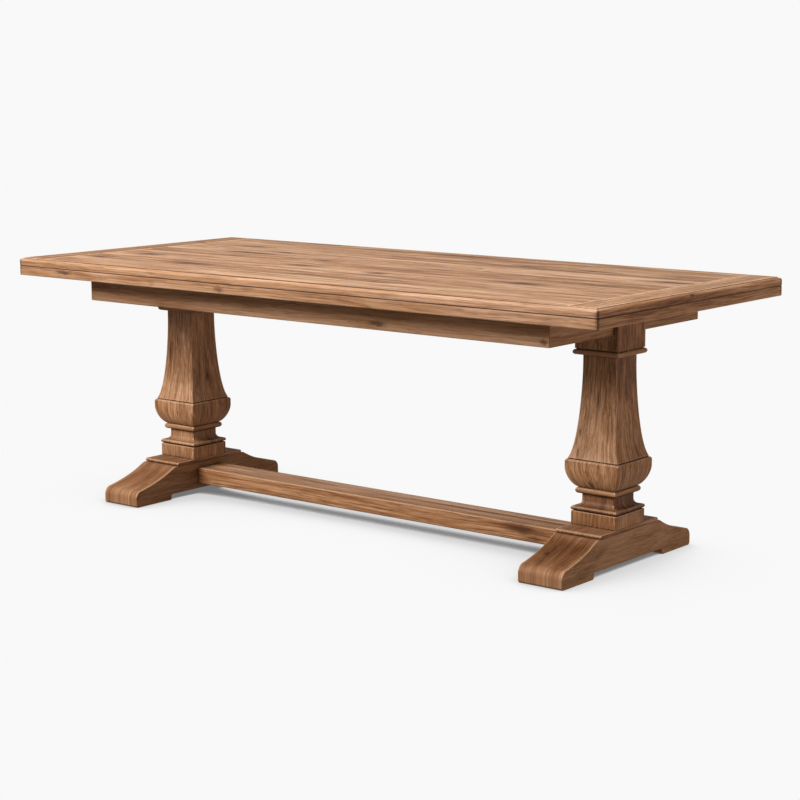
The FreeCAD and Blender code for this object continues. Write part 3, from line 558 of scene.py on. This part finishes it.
PLANK_STREAKS = (
    ((50, -347), (1000, 13), 0.2), ((-480, -203), (260, 11), 0.2), ((660, -203), (310, 11), 0.2),
    ((790, -103), (180, 10), 0.2), ((690, 44), (280, 11), 0.18), ((-180, 178), (200, 11), 0.18),
    ((750, 172), (260, 22), 0.25), ((380, -18), (290, 10), -0.25), ((-30, 132), (310, 7), -0.25),
    ((-80, 252), (700, 12), -0.25), ((-20, 392), (190, 16), -0.25), ((240, -226), (130, 9), -0.25),
    ((200, -305), (800, 9), -0.2), ((-350, -395), (700, 42), -0.1), ((640, -395), (260, 40), 0.08),
    ((-300, 0), (330, 30), -0.18), ((650, 6), (220, 22), 0.16), ((500, 150), (260, 26), 0.1),
)
# Lighter and darker patches of the frame, mostly painted light and painted shade: lit lower fronts
# and right sides, shaded foot slopes and right faces, a painted highlight on the strip's lower arris
# and a painted sheen on the stretcher's top; a few are tone of the wood
FRAME_LIGHT_SHADE_AND_TONE = {
    "apron_front": (((720, -366, 660), (420, 50, 60), 0.14),
                    ((0, -366, 646), (2500, 60, 30), 0.33)),
    "capital_block_left": (((-787, -60, 600), (90, 60, 90), 0.26),),
    "edge_strip_right": (((1050, 0, 709), (14, 2000, 3), 0.5),
                         ((1050, 330, 722), (30, 160, 16), 0.25)),
    "shaft_left": (((-787, -75, 325), (110, 50, 55), 0.26), ((-805, -60, 445), (60, 40, 70), -0.2)),
    "shaft_right": (((787, -75, 325), (110, 50, 55), 0.16),
                    ((845, 10, 530), (40, 100, 100), -0.46)),
    "capital_block_right": (((850, 0, 600), (40, 120, 120), -0.4),),
    "plinth_right": (((870, 0, 125), (30, 120, 50), 0.55),),
    "foot_right": (((775, -215, 78), (140, 120, 80), -0.88), ((872, 0, 60), (30, 900, 160), 0.5),
                   ((872, 210, 55), (30, 150, 90), 0.45)),
    "foot_left": (((-787, -215, 78), (110, 95, 60), -0.3),
                  ((-702, -150, 60), (30, 300, 120), 0.35)),
    "stretcher": (((0, 15, 82), (1500, 80, 10), 0.4), ((545, -53, 60), (160, 20, 50), -0.15),
                  ((0, -53, 58), (350, 20, 30), 0.15)),
}
print(len(PLANK_KNOTS) + len(PLANK_STREAKS), "marks on the planks")

# %% Planks
# Tone of each plank from front to back, partly painted light: the front plank is lighter, nearer the
# lamps
PLANK_TONES_AND_LIGHT = (0.62, 0.46, 0.53, 0.46, 0.58, 0.47, 0.47)
TOP_STAIN = "#e2e7ec"
SMEAR = 2.0
KNOT_RINGS = ((1.1, 0.68), (0.45, 0.35))
MARK_DEEP = 20
SEAM_DIRT = ((1500, 6.0, MARK_DEEP), 0.85)
for k, tone in enumerate(PLANK_TONES_AND_LIGHT):
    plank = "top_plank_%d" % (k + 1)
    lo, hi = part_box(plank)
    dark_marks = [((x, y, TOP_Z), (size * rx * SMEAR, size * ry, MARK_DEEP), depth)
             for (x, y), (rx, ry) in PLANK_KNOTS if lo.y < y * MM < hi.y
             for size, depth in KNOT_RINGS]
    dark_marks += [((0, y / MM, TOP_Z), *SEAM_DIRT) for y in (lo.y, hi.y)]
    lifts = [((x, y, TOP_Z), (rx, ry, MARK_DEEP), lift)
             for (x, y), (rx, ry), lift in PLANK_STREAKS if lo.y < y * MM < hi.y]
    dress(plank, oak(plank, "X", tone, dark_marks, lifts, TOP_STAIN,
                     run=1.4, broad=1.6, figure=1.05, checks=0.6))
print("dressed", len(PLANK_TONES_AND_LIGHT), "planks")

# %% Looks of the edges, frame and legs
EDGE_STAIN = "#eef3fd"
FRAME_STAIN = "#fdfdff"
FOOT_STAIN = "#edf1ff"
ENDS = ("_left", "_right")
CORNERS = ("_right_back", "_right_front", "_left_front", "_left_back")
BASE_LOOK = {"run": 0.4, "figure": 0.7, "checks": 0.6, "hollow": 0.6}
FOOT_LOOK = {"run": 0.7, "figure": 0.38, "rub_and_highlight": 0.7, "wax": 0.08}
FRAME = (
    # names, grain, tone, stain, and what differs from plain oak
    (("breadboard_left",), "Y", 0.37, TOP_STAIN, {"checks": 0.6, "quirk": 0.1}),
    (("breadboard_right",), "Y", 0.5, TOP_STAIN, {"checks": 0.6, "quirk": 0.1, "rub_and_highlight": 0.7}),
    (("edge_strip_front", "edge_strip_back"), "X", 0.53, EDGE_STAIN,
     {"figure": 0.58, "checks": 0.12, "quirk": 0.7, "rub_and_highlight": 0.1}),
    (("edge_strip_left", "edge_strip_right"), "Y", 0.44, FRAME_STAIN,
     {"figure": 0.75, "checks": 0.12, "quirk": 0.2, "rub_and_highlight": 0.1}),
    (("apron_front", "apron_back"), "X", 0.48, FRAME_STAIN,
     {"figure": 0.48, "checks": 0.2, "rub_and_highlight": 0.5}),
    (["apron_end" + corner for corner in CORNERS], "Y", 0.46, FRAME_STAIN,
     {"figure": 0.6, "checks": 0.2}),
    ([piece + end for piece in ("capital_block", "shaft") for end in ENDS], "Z", 0.49, FRAME_STAIN,
     {"run": 0.35, "figure": 0.72, "checks": 0.7, "rub_and_highlight": 0.2}),
    ([piece + end for piece in ("collar_bead", "bulb_bead") for end in ENDS],
     "round", 0.47, FRAME_STAIN, {"figure": 0.5, "checks": 0.1}),
    (("bulb_left", "bulb_right"), "Z", 0.46, FRAME_STAIN,
     {"run": 0.4, "figure": 0.7, "checks": 0.7, "quirk": 0.6, "rub_and_highlight": 1.3}),
    (("base_scotia_left", "plinth_left"), "Z", 0.47, FRAME_STAIN, BASE_LOOK),
    (("base_scotia_right",), "Z", 0.2, FRAME_STAIN, BASE_LOOK),
    (("plinth_right",), "Z", 0.35, FRAME_STAIN, {**BASE_LOOK, "figure": 0.5}),
    (("foot_left",), "Y", 0.41, FOOT_STAIN, FOOT_LOOK),
    (("foot_right",), "Y", 0.44, FOOT_STAIN, FOOT_LOOK),
    (("foot_cap_left", "foot_cap_right"), "Y", 0.4, FOOT_STAIN,
     {"run": 0.7, "figure": 0.5, "quirk": 0.3, "hollow": 0.05, "wax": 0.05}),
    (("stretcher",), "X", 0.36, FRAME_STAIN, {"figure": 0.7, "checks": 0.2}),
)
print(len(FRAME), "looks for the frame")

# %% Dirt, painted shade and painted light that come with a piece's place
# Each is the reach along X, Y and Z, and the depth
MITRE_DIRT = ((11.0, 11.0, 200), 0.8)
# Painted shade along the shadow groove between lip and strip
END_GROOVE_SHADE = ((12, 2000, 2.4), 0.9)
SIDE_GROOVE_SHADE = ((4000, 12, 2.4), 0.9)
# Painted shade on the top of a shaft or scotia, under the overhanging bead
UNDER_BEAD_SHADE = ((1000, 1000, 5.0), 0.85)
# Painted shade along the top of a foot's side, under the cap's overhang
UNDER_CAP_SHADE = ((8, 150, 2.4), 0.9)
UNDER_ROLL_SHADE = ((3000, 3000, 8.0), -1.2)
# Painted light on the breadboard's riser above the lip
PAINTED_RISER_LIGHT = ((6, 3000, 5), 0.5)
# Painted light on the back of a foot cap, where the column shades it
PAINTED_CAP_LIGHT = ((120, 90, 20), 0.7)
BOARDS_HALF = 1040
half_x, half_y = cad_box[1].x / MM, cad_box[1].y / MM
groove_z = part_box("top_plank_1")[0].z / MM
mitres = [((sx * half_x, sy * half_y, TOP_Z), *MITRE_DIRT) for sx in (-1, 1) for sy in (-1, 1)]
grooves = [((side * half_x, 0, groove_z), *END_GROOVE_SHADE) for side in (-1, 1)]
grooves += [((0, side * half_y, groove_z), *SIDE_GROOVE_SHADE) for side in (-1, 1)]


def marks_of_place(name):
    """Dark marks and lifts from what a piece touches: mitre dirt, painted shade and painted light.
    """
    lo, hi = (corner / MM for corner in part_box(name))
    dark_marks, lifts = [], []
    if name.startswith("edge_strip"):
        dark_marks += mitres + grooves
    if name.startswith(("shaft", "base_scotia")):
        dark_marks.append(((hi.x, 0, hi.z), *UNDER_BEAD_SHADE))
    if name in ("foot_left", "foot_right"):
        dark_marks.append(((hi.x, 0, hi.z), *UNDER_CAP_SHADE))
    if name.startswith(("bulb_bead", "base_scotia")):
        lifts.append(((0, 0, lo.z), *UNDER_ROLL_SHADE))
    if name.startswith("breadboard"):
        lifts.append(((math.copysign(BOARDS_HALF, lo.x), 0, hi.z), *PAINTED_RISER_LIGHT))
    if name.startswith("foot_cap"):
        lifts.append(((hi.x, hi.y, hi.z), *PAINTED_CAP_LIGHT))
    return dark_marks, lifts


# The mitres hold dirt, the grooves painted shade
print(len(mitres), "mitres and", len(grooves), "grooves hold dirt")

# %% Edges, frame and legs
for names, grain, tone, stain, look in FRAME:
    for name in names:
        dark_marks, lifts = marks_of_place(name)
        dark_marks = [*FRAME_KNOTS.get(name, ()), *dark_marks]
        lifts = [*FRAME_LIGHT_SHADE_AND_TONE.get(name, ()), *lifts]
        dress(name, oak(name, grain, tone, dark_marks, lifts, stain, **look))
print("dressed", sum(len(row[0]) for row in FRAME), "pieces of the frame")

# %% Unstained wood inside
# Wood that no one sees is left unstained, so it is paler than the rest
BARE_WOOD = {
    # start of the name, grain and tone
    "bearer": ("Y", 0.75), "cross_batten": ("Y", 0.75), "glue_block": ("Z", 0.8),
    "breadboard_pegs": ("Z", 0.8), "stretcher_dowels": ("Z", 0.8),
}
for name in nodes:
    for start, (grain, tone) in BARE_WOOD.items():
        if name.startswith(start):
            dress(name, oak(name, grain, tone))
            print("left bare:", name)

# %% [markdown]
# ## Hardware materials
# None of the hardware shows in the portrait, but it does from below: zinc-plated steel screws,
# clips, rods, nuts and washers, brass inserts, and glides of black nylon on steel stems. None is
# one flat colour: zinc plate has a spangle of small crystals, brass the rings of the turning tool
# and nylon the grain of its mould. Each could have a tree of its own, but one noise of the right
# grit gives them all two shades, a range of gloss and a shallow relief.

# %% Hardware finishes
RELIEF = 0.03
RELIEF_STRENGTH = 0.3
SHADE_STARTS = (0.35, 0.65)


def finish(name, shades, gloss, grit, metallic):
    """Material from two shades and two roughnesses; the grit is in millimetres along X, Y and Z."""
    material = bpy.data.materials.new(name)
    material.use_nodes = True
    tree = material.node_tree
    place = add_node(tree, "ShaderNodeTexCoord").outputs["Object"]
    scaled = add_node(tree, "ShaderNodeMapping",
                      {"Vector": place, "Scale": [1 / (g * MM) for g in grit]})
    cloud = add_node(tree, "ShaderNodeTexNoise",
                     {"Vector": scaled.outputs[0], "Scale": 1.0, "Detail": 3.0})
    share = add_node(tree, "ShaderNodeMapRange",
                     {0: cloud.outputs[0], 1: SHADE_STARTS[0], 2: SHADE_STARTS[1]}, **SMOOTH)
    colour = add_node(tree, "ShaderNodeMix",
                      {0: share.outputs[0], 6: linear(shades[0]), 7: linear(shades[1])},
                      data_type="RGBA")
    rough = add_node(tree, "ShaderNodeMapRange", {0: share.outputs[0], 3: gloss[0], 4: gloss[1]})
    bump = add_node(tree, "ShaderNodeBump",
                    {"Height": cloud.outputs[0], "Strength": RELIEF_STRENGTH,
                     "Distance": RELIEF * MM})
    shader = tree.nodes["Principled BSDF"]
    shader.inputs["Metallic"].default_value = metallic
    for source, target in ((colour.outputs[2], "Base Color"), (rough.outputs[0], "Roughness"),
                           (bump.outputs[0], "Normal")):
        tree.links.new(source, shader.inputs[target])
    return material


# A bright, softly blurred grey with a spangle
ZINC = finish("zinc_plated_steel", shades=("#a5a9ae", "#c7cacd"), gloss=(0.28, 0.46),
              grit=(1.4, 1.4, 1.4), metallic=1.0)
# A clear yellow with fine rings round the axis
BRASS = finish("turned_brass", shades=("#b8934b", "#d3b26c"), gloss=(0.22, 0.4),
               grit=(6.0, 6.0, 0.3), metallic=1.0)
# A dull black with the fine grain of a mould
NYLON = finish("moulded_black_nylon", shades=("#181716", "#242220"), gloss=(0.42, 0.6),
               grit=(0.5, 0.5, 0.5), metallic=0.0)
for name in ("tie_rods", "tie_nuts", "tie_washers", "top_clips", "clip_screws", "wood_screws"):
    dress(name, ZINC)
dress("glide_inserts", BRASS)
print("made", ZINC.name, BRASS.name, NYLON.name)

# %% [markdown]
# ## Screws
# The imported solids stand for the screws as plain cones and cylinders. A real one has a cross slot,
# and no two stop at the same angle. Screws repeat, so one geometry tree makes them all: it cuts the
# slot from a head, joins a shank, sets a copy on every point with a turn of its own, and ends as
# real geometry with its finish. The points are where the solids are, which are found by walking
# along the edges of a welded copy of the node's mesh.

# %% Find the solids of a node
WELD_REACH = 0.001


def solid_boxes(name):
    """Lowest and highest corner of every loose solid in a node."""
    welded = bmesh.new()
    welded.from_mesh(nodes[name].data)
    bmesh.ops.remove_doubles(welded, verts=welded.verts, dist=WELD_REACH * MM)
    known, boxes = set(), []
    for first in welded.verts:
        if first in known:
            continue
        known.add(first)
        solid = [first]
        for vert in solid:
            fresh = [edge.other_vert(vert) for edge in vert.link_edges]
            fresh = [other for other in fresh if other not in known]
            known.update(fresh)
            solid += fresh
        spans = list(zip(*[vert.co for vert in solid]))
        boxes.append((Vector([min(s) for s in spans]), Vector([max(s) for s in spans])))
    welded.free()
    return boxes


def foot_points(name):
    """Middle of the underside of every solid in a node."""
    return [((lo.x + hi.x) / 2, (lo.y + hi.y) / 2, lo.z) for lo, hi in solid_boxes(name)]


for name in ("wood_screws", "clip_screws"):
    print(name, "holds", len(foot_points(name)), "screws")

# %% Start a geometry tree and grow it on points
def geometry_tree(name, sizes):
    """Tree with points coming in, a named input for each size, and geometry going out."""
    tree = bpy.data.node_groups.new(name, "GeometryNodeTree")
    sockets = [("Points", "Geometry"), *sizes, ("Seed", "Int"), ("Finish", "Material")]
    for socket, kind in sockets:
        tree.interface.new_socket(socket, in_out="INPUT", socket_type="NodeSocket" + kind)
    tree.interface.new_socket("Geometry", in_out="OUTPUT", socket_type="NodeSocketGeometry")
    return tree, tree.nodes.new("NodeGroupInput").outputs


def set_on_points(tree, given, piece):
    """Copies on the points, each with its own turn, made real and finished."""
    turn = add_node(tree, "FunctionNodeRandomValue", {1: (0, 0, math.tau), "Seed": given["Seed"]},
                    data_type="FLOAT_VECTOR")
    turn = add_node(tree, "FunctionNodeEulerToRotation", {0: turn.outputs[0]})
    copies = add_node(tree, "GeometryNodeInstanceOnPoints", {
        "Points": given["Points"], "Instance": piece, "Rotation": turn.outputs[0]})
    real = add_node(tree, "GeometryNodeRealizeInstances", {0: copies.outputs[0]})
    done = add_node(tree, "GeometryNodeSetMaterial",
                    {"Geometry": real.outputs[0], "Material": given["Finish"]})
    add_node(tree, "NodeGroupOutput", {0: done.outputs[0]})
    return tree


def grow(name, points, tree, **sizes):
    """Plain mesh object that a tree grows on some points."""
    mesh = bpy.data.meshes.new(name)
    mesh.from_pydata(points, [], [])
    holder = bpy.data.objects.new(name, mesh)
    scene.collection.objects.link(holder)
    modifier = holder.modifiers.new(tree.name, "NODES")
    modifier.node_group = tree
    for socket in tree.interface.items_tree:
        if socket.name in sizes:
            modifier[socket.identifier] = sizes[socket.name]
    view = bpy.context.evaluated_depsgraph_get()
    holder.data = bpy.data.meshes.new_from_object(holder.evaluated_get(view))
    holder.modifiers.remove(modifier)
    print(name, "has", len(holder.data.polygons), "faces")
    return holder


# %% The screw
SCREW_SIZES = ("Face", "Seat", "Head", "Shank", "Length", "Slot", "Blade", "Sink")


def screw_tree():
    """Screw that points up from the middle of its head's outer face."""
    tree, given = geometry_tree("cross_slot_screw", [(size, "Float") for size in SCREW_SIZES])
    head = add_node(tree, "GeometryNodeMeshCone",
                    {"Vertices": 28, "Radius Top": given["Seat"],
                     "Radius Bottom": given["Face"], "Depth": given["Head"]})
    # The blade lies half above the face, so it is twice as deep as the slot
    deep = add_node(tree, "ShaderNodeMath", {0: given["Sink"], 1: 2.0}, operation="MULTIPLY")
    blade = add_node(tree, "ShaderNodeCombineXYZ", {"X": given["Slot"], "Y": given["Blade"],
                                                    "Z": deep.outputs[0]})
    bar = add_node(tree, "GeometryNodeMeshCube", {"Size": blade.outputs[0]}).outputs[0]
    across = add_node(tree, "GeometryNodeTransform", {0: bar, "Rotation": (0, 0, math.pi / 2)})
    slotted = add_node(tree, "GeometryNodeMeshBoolean", {"Mesh 1": head.outputs[0],
                                                         "Mesh 2": [bar, across.outputs[0]]},
                       operation="DIFFERENCE")
    rod = add_node(tree, "GeometryNodeMeshCylinder", {"Vertices": 16, "Radius": given["Shank"],
                                                      "Depth": given["Length"]})
    middle = add_node(tree, "ShaderNodeMath", {0: given["Length"], 1: 0.5, 2: given["Head"]},
                      operation="MULTIPLY_ADD")
    lift = add_node(tree, "ShaderNodeCombineXYZ", {"Z": middle.outputs[0]})
    shank = add_node(tree, "GeometryNodeTransform",
                     {0: rod.outputs[0], "Translation": lift.outputs[0]})
    screw = add_node(tree, "GeometryNodeJoinGeometry", {0: [slotted.outputs[0], shank.outputs[0]]})
    return set_on_points(tree, given, screw.outputs[0])


SCREW = screw_tree()
SCREW_SEED = 7
COUNTERSUNK = {"Face": 4.2, "Seat": 2.1, "Head": 2.8, "Shank": 2.1, "Length": 35.2,
               "Slot": 4.6, "Blade": 0.9, "Sink": 1.7}
PAN_HEAD = {"Face": 2.9, "Seat": 3.8, "Head": 2.4, "Shank": 1.9, "Length": 15.0,
            "Slot": 4.2, "Blade": 0.8, "Sink": 1.5}
for piece, stands_for, sizes in (("countersunk_screws", "wood_screws", COUNTERSUNK),
                                 ("pan_head_screws", "clip_screws", PAN_HEAD)):
    metres = {size: value * MM for size, value in sizes.items()}
    screws = grow(piece, foot_points(stands_for), SCREW, Seed=SCREW_SEED, Finish=ZINC, **metres)
    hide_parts(stands_for)
    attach(screws, "table")

# %% [markdown]
# ## Levelling glides
# Under each foot pad sits a nylon disc on a threaded steel stem. The disc is a turned shape, so it
# is a profile spun about its axis. The thread follows a helix, which is a rule: a geometry tree
# sweeps a small round ridge along a spiral and joins it to the stem's core. The thread stays inside
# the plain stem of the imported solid.

# %% Turned disc
DISC_PROFILE = ((0.0, 0.0), (14.8, 0.0), (16.6, 0.5), (17.6, 1.4), (18.0, 2.6), (18.0, 4.3),
                (17.6, 5.1), (16.8, 5.5), (0.0, 5.5))


def turned_disc(name, middle):
    """Nylon disc with rounded rims, spun about the upright axis through a point."""
    shape = bmesh.new()
    x, y, floor_z = middle
    corners = [shape.verts.new((x + r * MM, y, floor_z + z * MM)) for r, z in DISC_PROFILE]
    outline = [shape.edges.new(pair) for pair in zip(corners, corners[1:])]
    bmesh.ops.spin(shape, geom=corners + outline, cent=middle, axis=(0, 0, 1),
                   angle=math.tau, steps=48)
    bmesh.ops.remove_doubles(shape, verts=shape.verts, dist=WELD_REACH * MM)
    bmesh.ops.recalc_face_normals(shape, faces=shape.faces)
    mesh = bpy.data.meshes.new(name)
    shape.to_mesh(mesh)
    shape.free()
    mesh.materials.append(NYLON)
    disc = bpy.data.objects.new(name, mesh)
    scene.collection.objects.link(disc)
    return disc


print("disc is", 2 * max(r for r, z in DISC_PROFILE), "mm across")


# %% Threaded stem
def stem_tree():
    """Threaded stem that points up from its foot."""
    tree, given = geometry_tree("threaded_stem", [
        ("Core", "Float"), ("Ridge", "Float"), ("Length", "Float"), ("Turns", "Float")])
    rod = add_node(tree, "GeometryNodeMeshCylinder", {"Vertices": 24, "Radius": given["Core"],
                                                      "Depth": given["Length"]})
    half = add_node(tree, "ShaderNodeMath", {0: given["Length"], 1: 0.5}, operation="MULTIPLY")
    lift = add_node(tree, "ShaderNodeCombineXYZ", {"Z": half.outputs[0]})
    core = add_node(tree, "GeometryNodeTransform",
                    {0: rod.outputs[0], "Translation": lift.outputs[0]})
    helix = add_node(tree, "GeometryNodeCurveSpiral", {
        "Resolution": 24, "Rotations": given["Turns"], "Start Radius": given["Core"],
        "End Radius": given["Core"], "Height": given["Length"]})
    section = add_node(tree, "GeometryNodeCurvePrimitiveCircle",
                       {"Resolution": 5, "Radius": given["Ridge"]})
    thread = add_node(tree, "GeometryNodeCurveToMesh", {
        "Curve": helix.outputs[0], "Profile Curve": section.outputs[0], "Fill Caps": True})
    stem = add_node(tree, "GeometryNodeJoinGeometry", {0: [core.outputs[0], thread.outputs[0]]})
    return set_on_points(tree, given, stem.outputs[0])


STEM = stem_tree()
STEM_SEED = 3
STEM_CORE = 3.4
STEM_RIDGE = 0.55
PITCH = 1.25
for corner in CORNERS:
    node = "glide" + corner
    body = corner[1:] + "_glide"
    lo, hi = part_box(node)
    foot = ((lo.x + hi.x) / 2, (lo.y + hi.y) / 2, lo.z)
    disc = turned_disc("nylon_disc" + corner, foot)
    seat = lo.z + DISC_PROFILE[-1][1] * MM
    length = hi.z - seat - STEM_RIDGE * MM
    stem = grow("threaded_stem" + corner, [(foot[0], foot[1], seat)], STEM,
                Seed=STEM_SEED, Finish=ZINC, Core=STEM_CORE * MM, Ridge=STEM_RIDGE * MM,
                Length=length, Turns=length / MM / PITCH)
    for piece, slot in ((disc, "glide_nylon"), (stem, "zinc_steel")):
        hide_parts(node)
        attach(piece, body)

# %% [markdown]
# ## Studio
# The portrait was lit by a large soft lamp at the front left, a softer one overhead and a weak warm
# glow from the right, on seamless pale paper. Paper that catches real shadows would change its tone
# with every lamp, so it shines by itself, as bright as the sky behind it, and no horizon shows.
# What is left of the shadow is what the table hides of the lamps. Ambient occlusion measures that:
# it looks round from each point of the paper, and its normal leans towards some light. A lean to
# the left gives the pale shade at the right of everything. A lean to the front finds the dark core
# under feet and stretcher, and a lean to the back the light that comes in from behind.

# %% Floor
FLOOR_RADIUS = 60.0
PAPER_SEEN = 0.945
LOOKS = (
    # name, lean of the normal, reach in metres, open share that counts as none and as full
    ("side", (-0.6, 0.15, 0.75), 0.6, (0.45, 0.98)),
    ("front", (-0.35, -0.8, 0.48), 0.25, (0.2, 0.31)),
    ("back", (-0.2, 0.85, 0.45), 0.25, (0.1, 0.45)),
)
SIDE_SHADE = 0.7
CORE_SHADE = (0.26, 0.75)
mesh = bpy.data.meshes.new("floor")
build = bmesh.new()
bmesh.ops.create_circle(build, cap_ends=True, segments=96, radius=FLOOR_RADIUS)
build.to_mesh(mesh)
build.free()
floor = bpy.data.objects.new("floor", mesh)
scene.collection.objects.link(floor)
paper = bpy.data.materials.new("seamless_paper")
paper.use_nodes = True
paper.cycles.emission_sampling = "NONE"
tree = paper.node_tree
tree.nodes.clear()
open_to = {}
for name, lean, reach, (none, full) in LOOKS:
    look = add_node(tree, "ShaderNodeAmbientOcclusion",
                    {"Distance": reach, "Normal": Vector(lean).normalized()}, samples=16)
    open_to[name] = add_node(tree, "ShaderNodeMapRange", {0: look.outputs["AO"], 1: none, 2: full},
                             **SMOOTH).outputs[0]
core = add_node(tree, "ShaderNodeMapRange",
                {0: open_to["back"], 3: CORE_SHADE[0], 4: CORE_SHADE[1]})
core = add_node(tree, "ShaderNodeMapRange", {0: open_to["front"], 3: core.outputs[0]})
pale = add_node(tree, "ShaderNodeMapRange",
                {0: open_to["side"], 3: SIDE_SHADE * PAPER_SEEN, 4: PAPER_SEEN})
bright = add_node(tree, "ShaderNodeMath", {0: core.outputs[0], 1: pale.outputs[0]},
                  operation="MULTIPLY")
glow = add_node(tree, "ShaderNodeEmission", {"Strength": bright.outputs[0]})
below = add_node(tree, "ShaderNodeNewGeometry").outputs["Backfacing"]
see_through = add_node(tree, "ShaderNodeBsdfTransparent")
seen = add_node(tree, "ShaderNodeMixShader",
                {0: below, 1: glow.outputs[0], 2: see_through.outputs[0]})
add_node(tree, "ShaderNodeOutputMaterial", {"Surface": seen.outputs[0]})
mesh.materials.append(paper)
floor.visible_diffuse = floor.visible_glossy = floor.visible_shadow = False
print("floor radius", FLOOR_RADIUS)

# %% Lamps
def soft_lamp(name, place, target, size, power, colour="#ffffff"):
    """Lamp of some width and height, in metres, that looks from a place at a target."""
    lamp = bpy.data.lights.new(name, "AREA")
    lamp.shape = "RECTANGLE"
    lamp.size, lamp.size_y = size
    lamp.energy = power
    lamp.color = linear(colour)[:3]
    holder = bpy.data.objects.new(name, lamp)
    holder.location = place
    holder.rotation_euler = (Vector(target) - Vector(place)).to_track_quat("-Z", "Y").to_euler()
    scene.collection.objects.link(holder)
    print(name, "of", power, "W")


soft_lamp("key_lamp", place=(-2.2, -4.6, 3.7), target=(0, 0, 0.45), size=(3.2, 2.8), power=470)
soft_lamp("top_lamp", place=(0.0, -0.9, 4.4), target=(0, -0.1, 0.7), size=(4.0, 2.4), power=180)
soft_lamp("side_lamp", place=(4.6, 1.2, 0.6), target=(0.8, 0, 0.25), size=(3.0, 1.2), power=34,
          colour="#ffecd8")

# %% Sky round the studio
SKY_SEEN = 0.945
SKY_MIRRORED = 0.5
SKY_LIGHT = 0.26
SKY_TINT = "#fff4e8"
world = bpy.data.worlds.new("studio")
world.use_nodes = True
scene.world = world
sky = world.node_tree
sky.nodes.clear()
ray = add_node(sky, "ShaderNodeLightPath").outputs
dome = add_node(sky, "ShaderNodeBackground",
                {"Color": linear(SKY_TINT), "Strength": SKY_LIGHT}).outputs[0]
for kind, strength in (("Is Glossy Ray", SKY_MIRRORED), ("Is Camera Ray", SKY_SEEN)):
    white = add_node(sky, "ShaderNodeBackground",
                     {"Color": linear("#ffffff"), "Strength": strength})
    dome = add_node(sky, "ShaderNodeMixShader",
                    {0: ray[kind], 1: dome, 2: white.outputs[0]}).outputs[0]
add_node(sky, "ShaderNodeOutputWorld", {"Surface": dome})
print("sky lights with", SKY_LIGHT, "and is seen as", SKY_SEEN)

# %% [markdown]
# ## Camera
# The lens, place and turn were found by fitting the table's known corners to the portrait, because
# a camera that is placed by eye would shift every edge by a few pixels. The lens is long, so the
# far end of the table is only a little smaller than the near one.

# %% Camera
CAMERA_PLACE = (3.6080, -4.3836, 1.3356)
CAMERA_TURN = 37.775
CAMERA_TILT = 9.674
LENS = 88.06
SHIFT = -0.05
SENSOR_WIDTH = 36.0
camera = bpy.data.cameras.new("portrait_camera")
camera.sensor_width = SENSOR_WIDTH
camera.lens = LENS
camera.shift_x = SHIFT
eye = bpy.data.objects.new("portrait_camera", camera)
eye.location = CAMERA_PLACE
eye.rotation_euler = (math.radians(90 - CAMERA_TILT), 0, math.radians(CAMERA_TURN))
scene.collection.objects.link(eye)
scene.camera = eye
scene.view_settings.view_transform = "Standard"
print("camera at", CAMERA_PLACE)
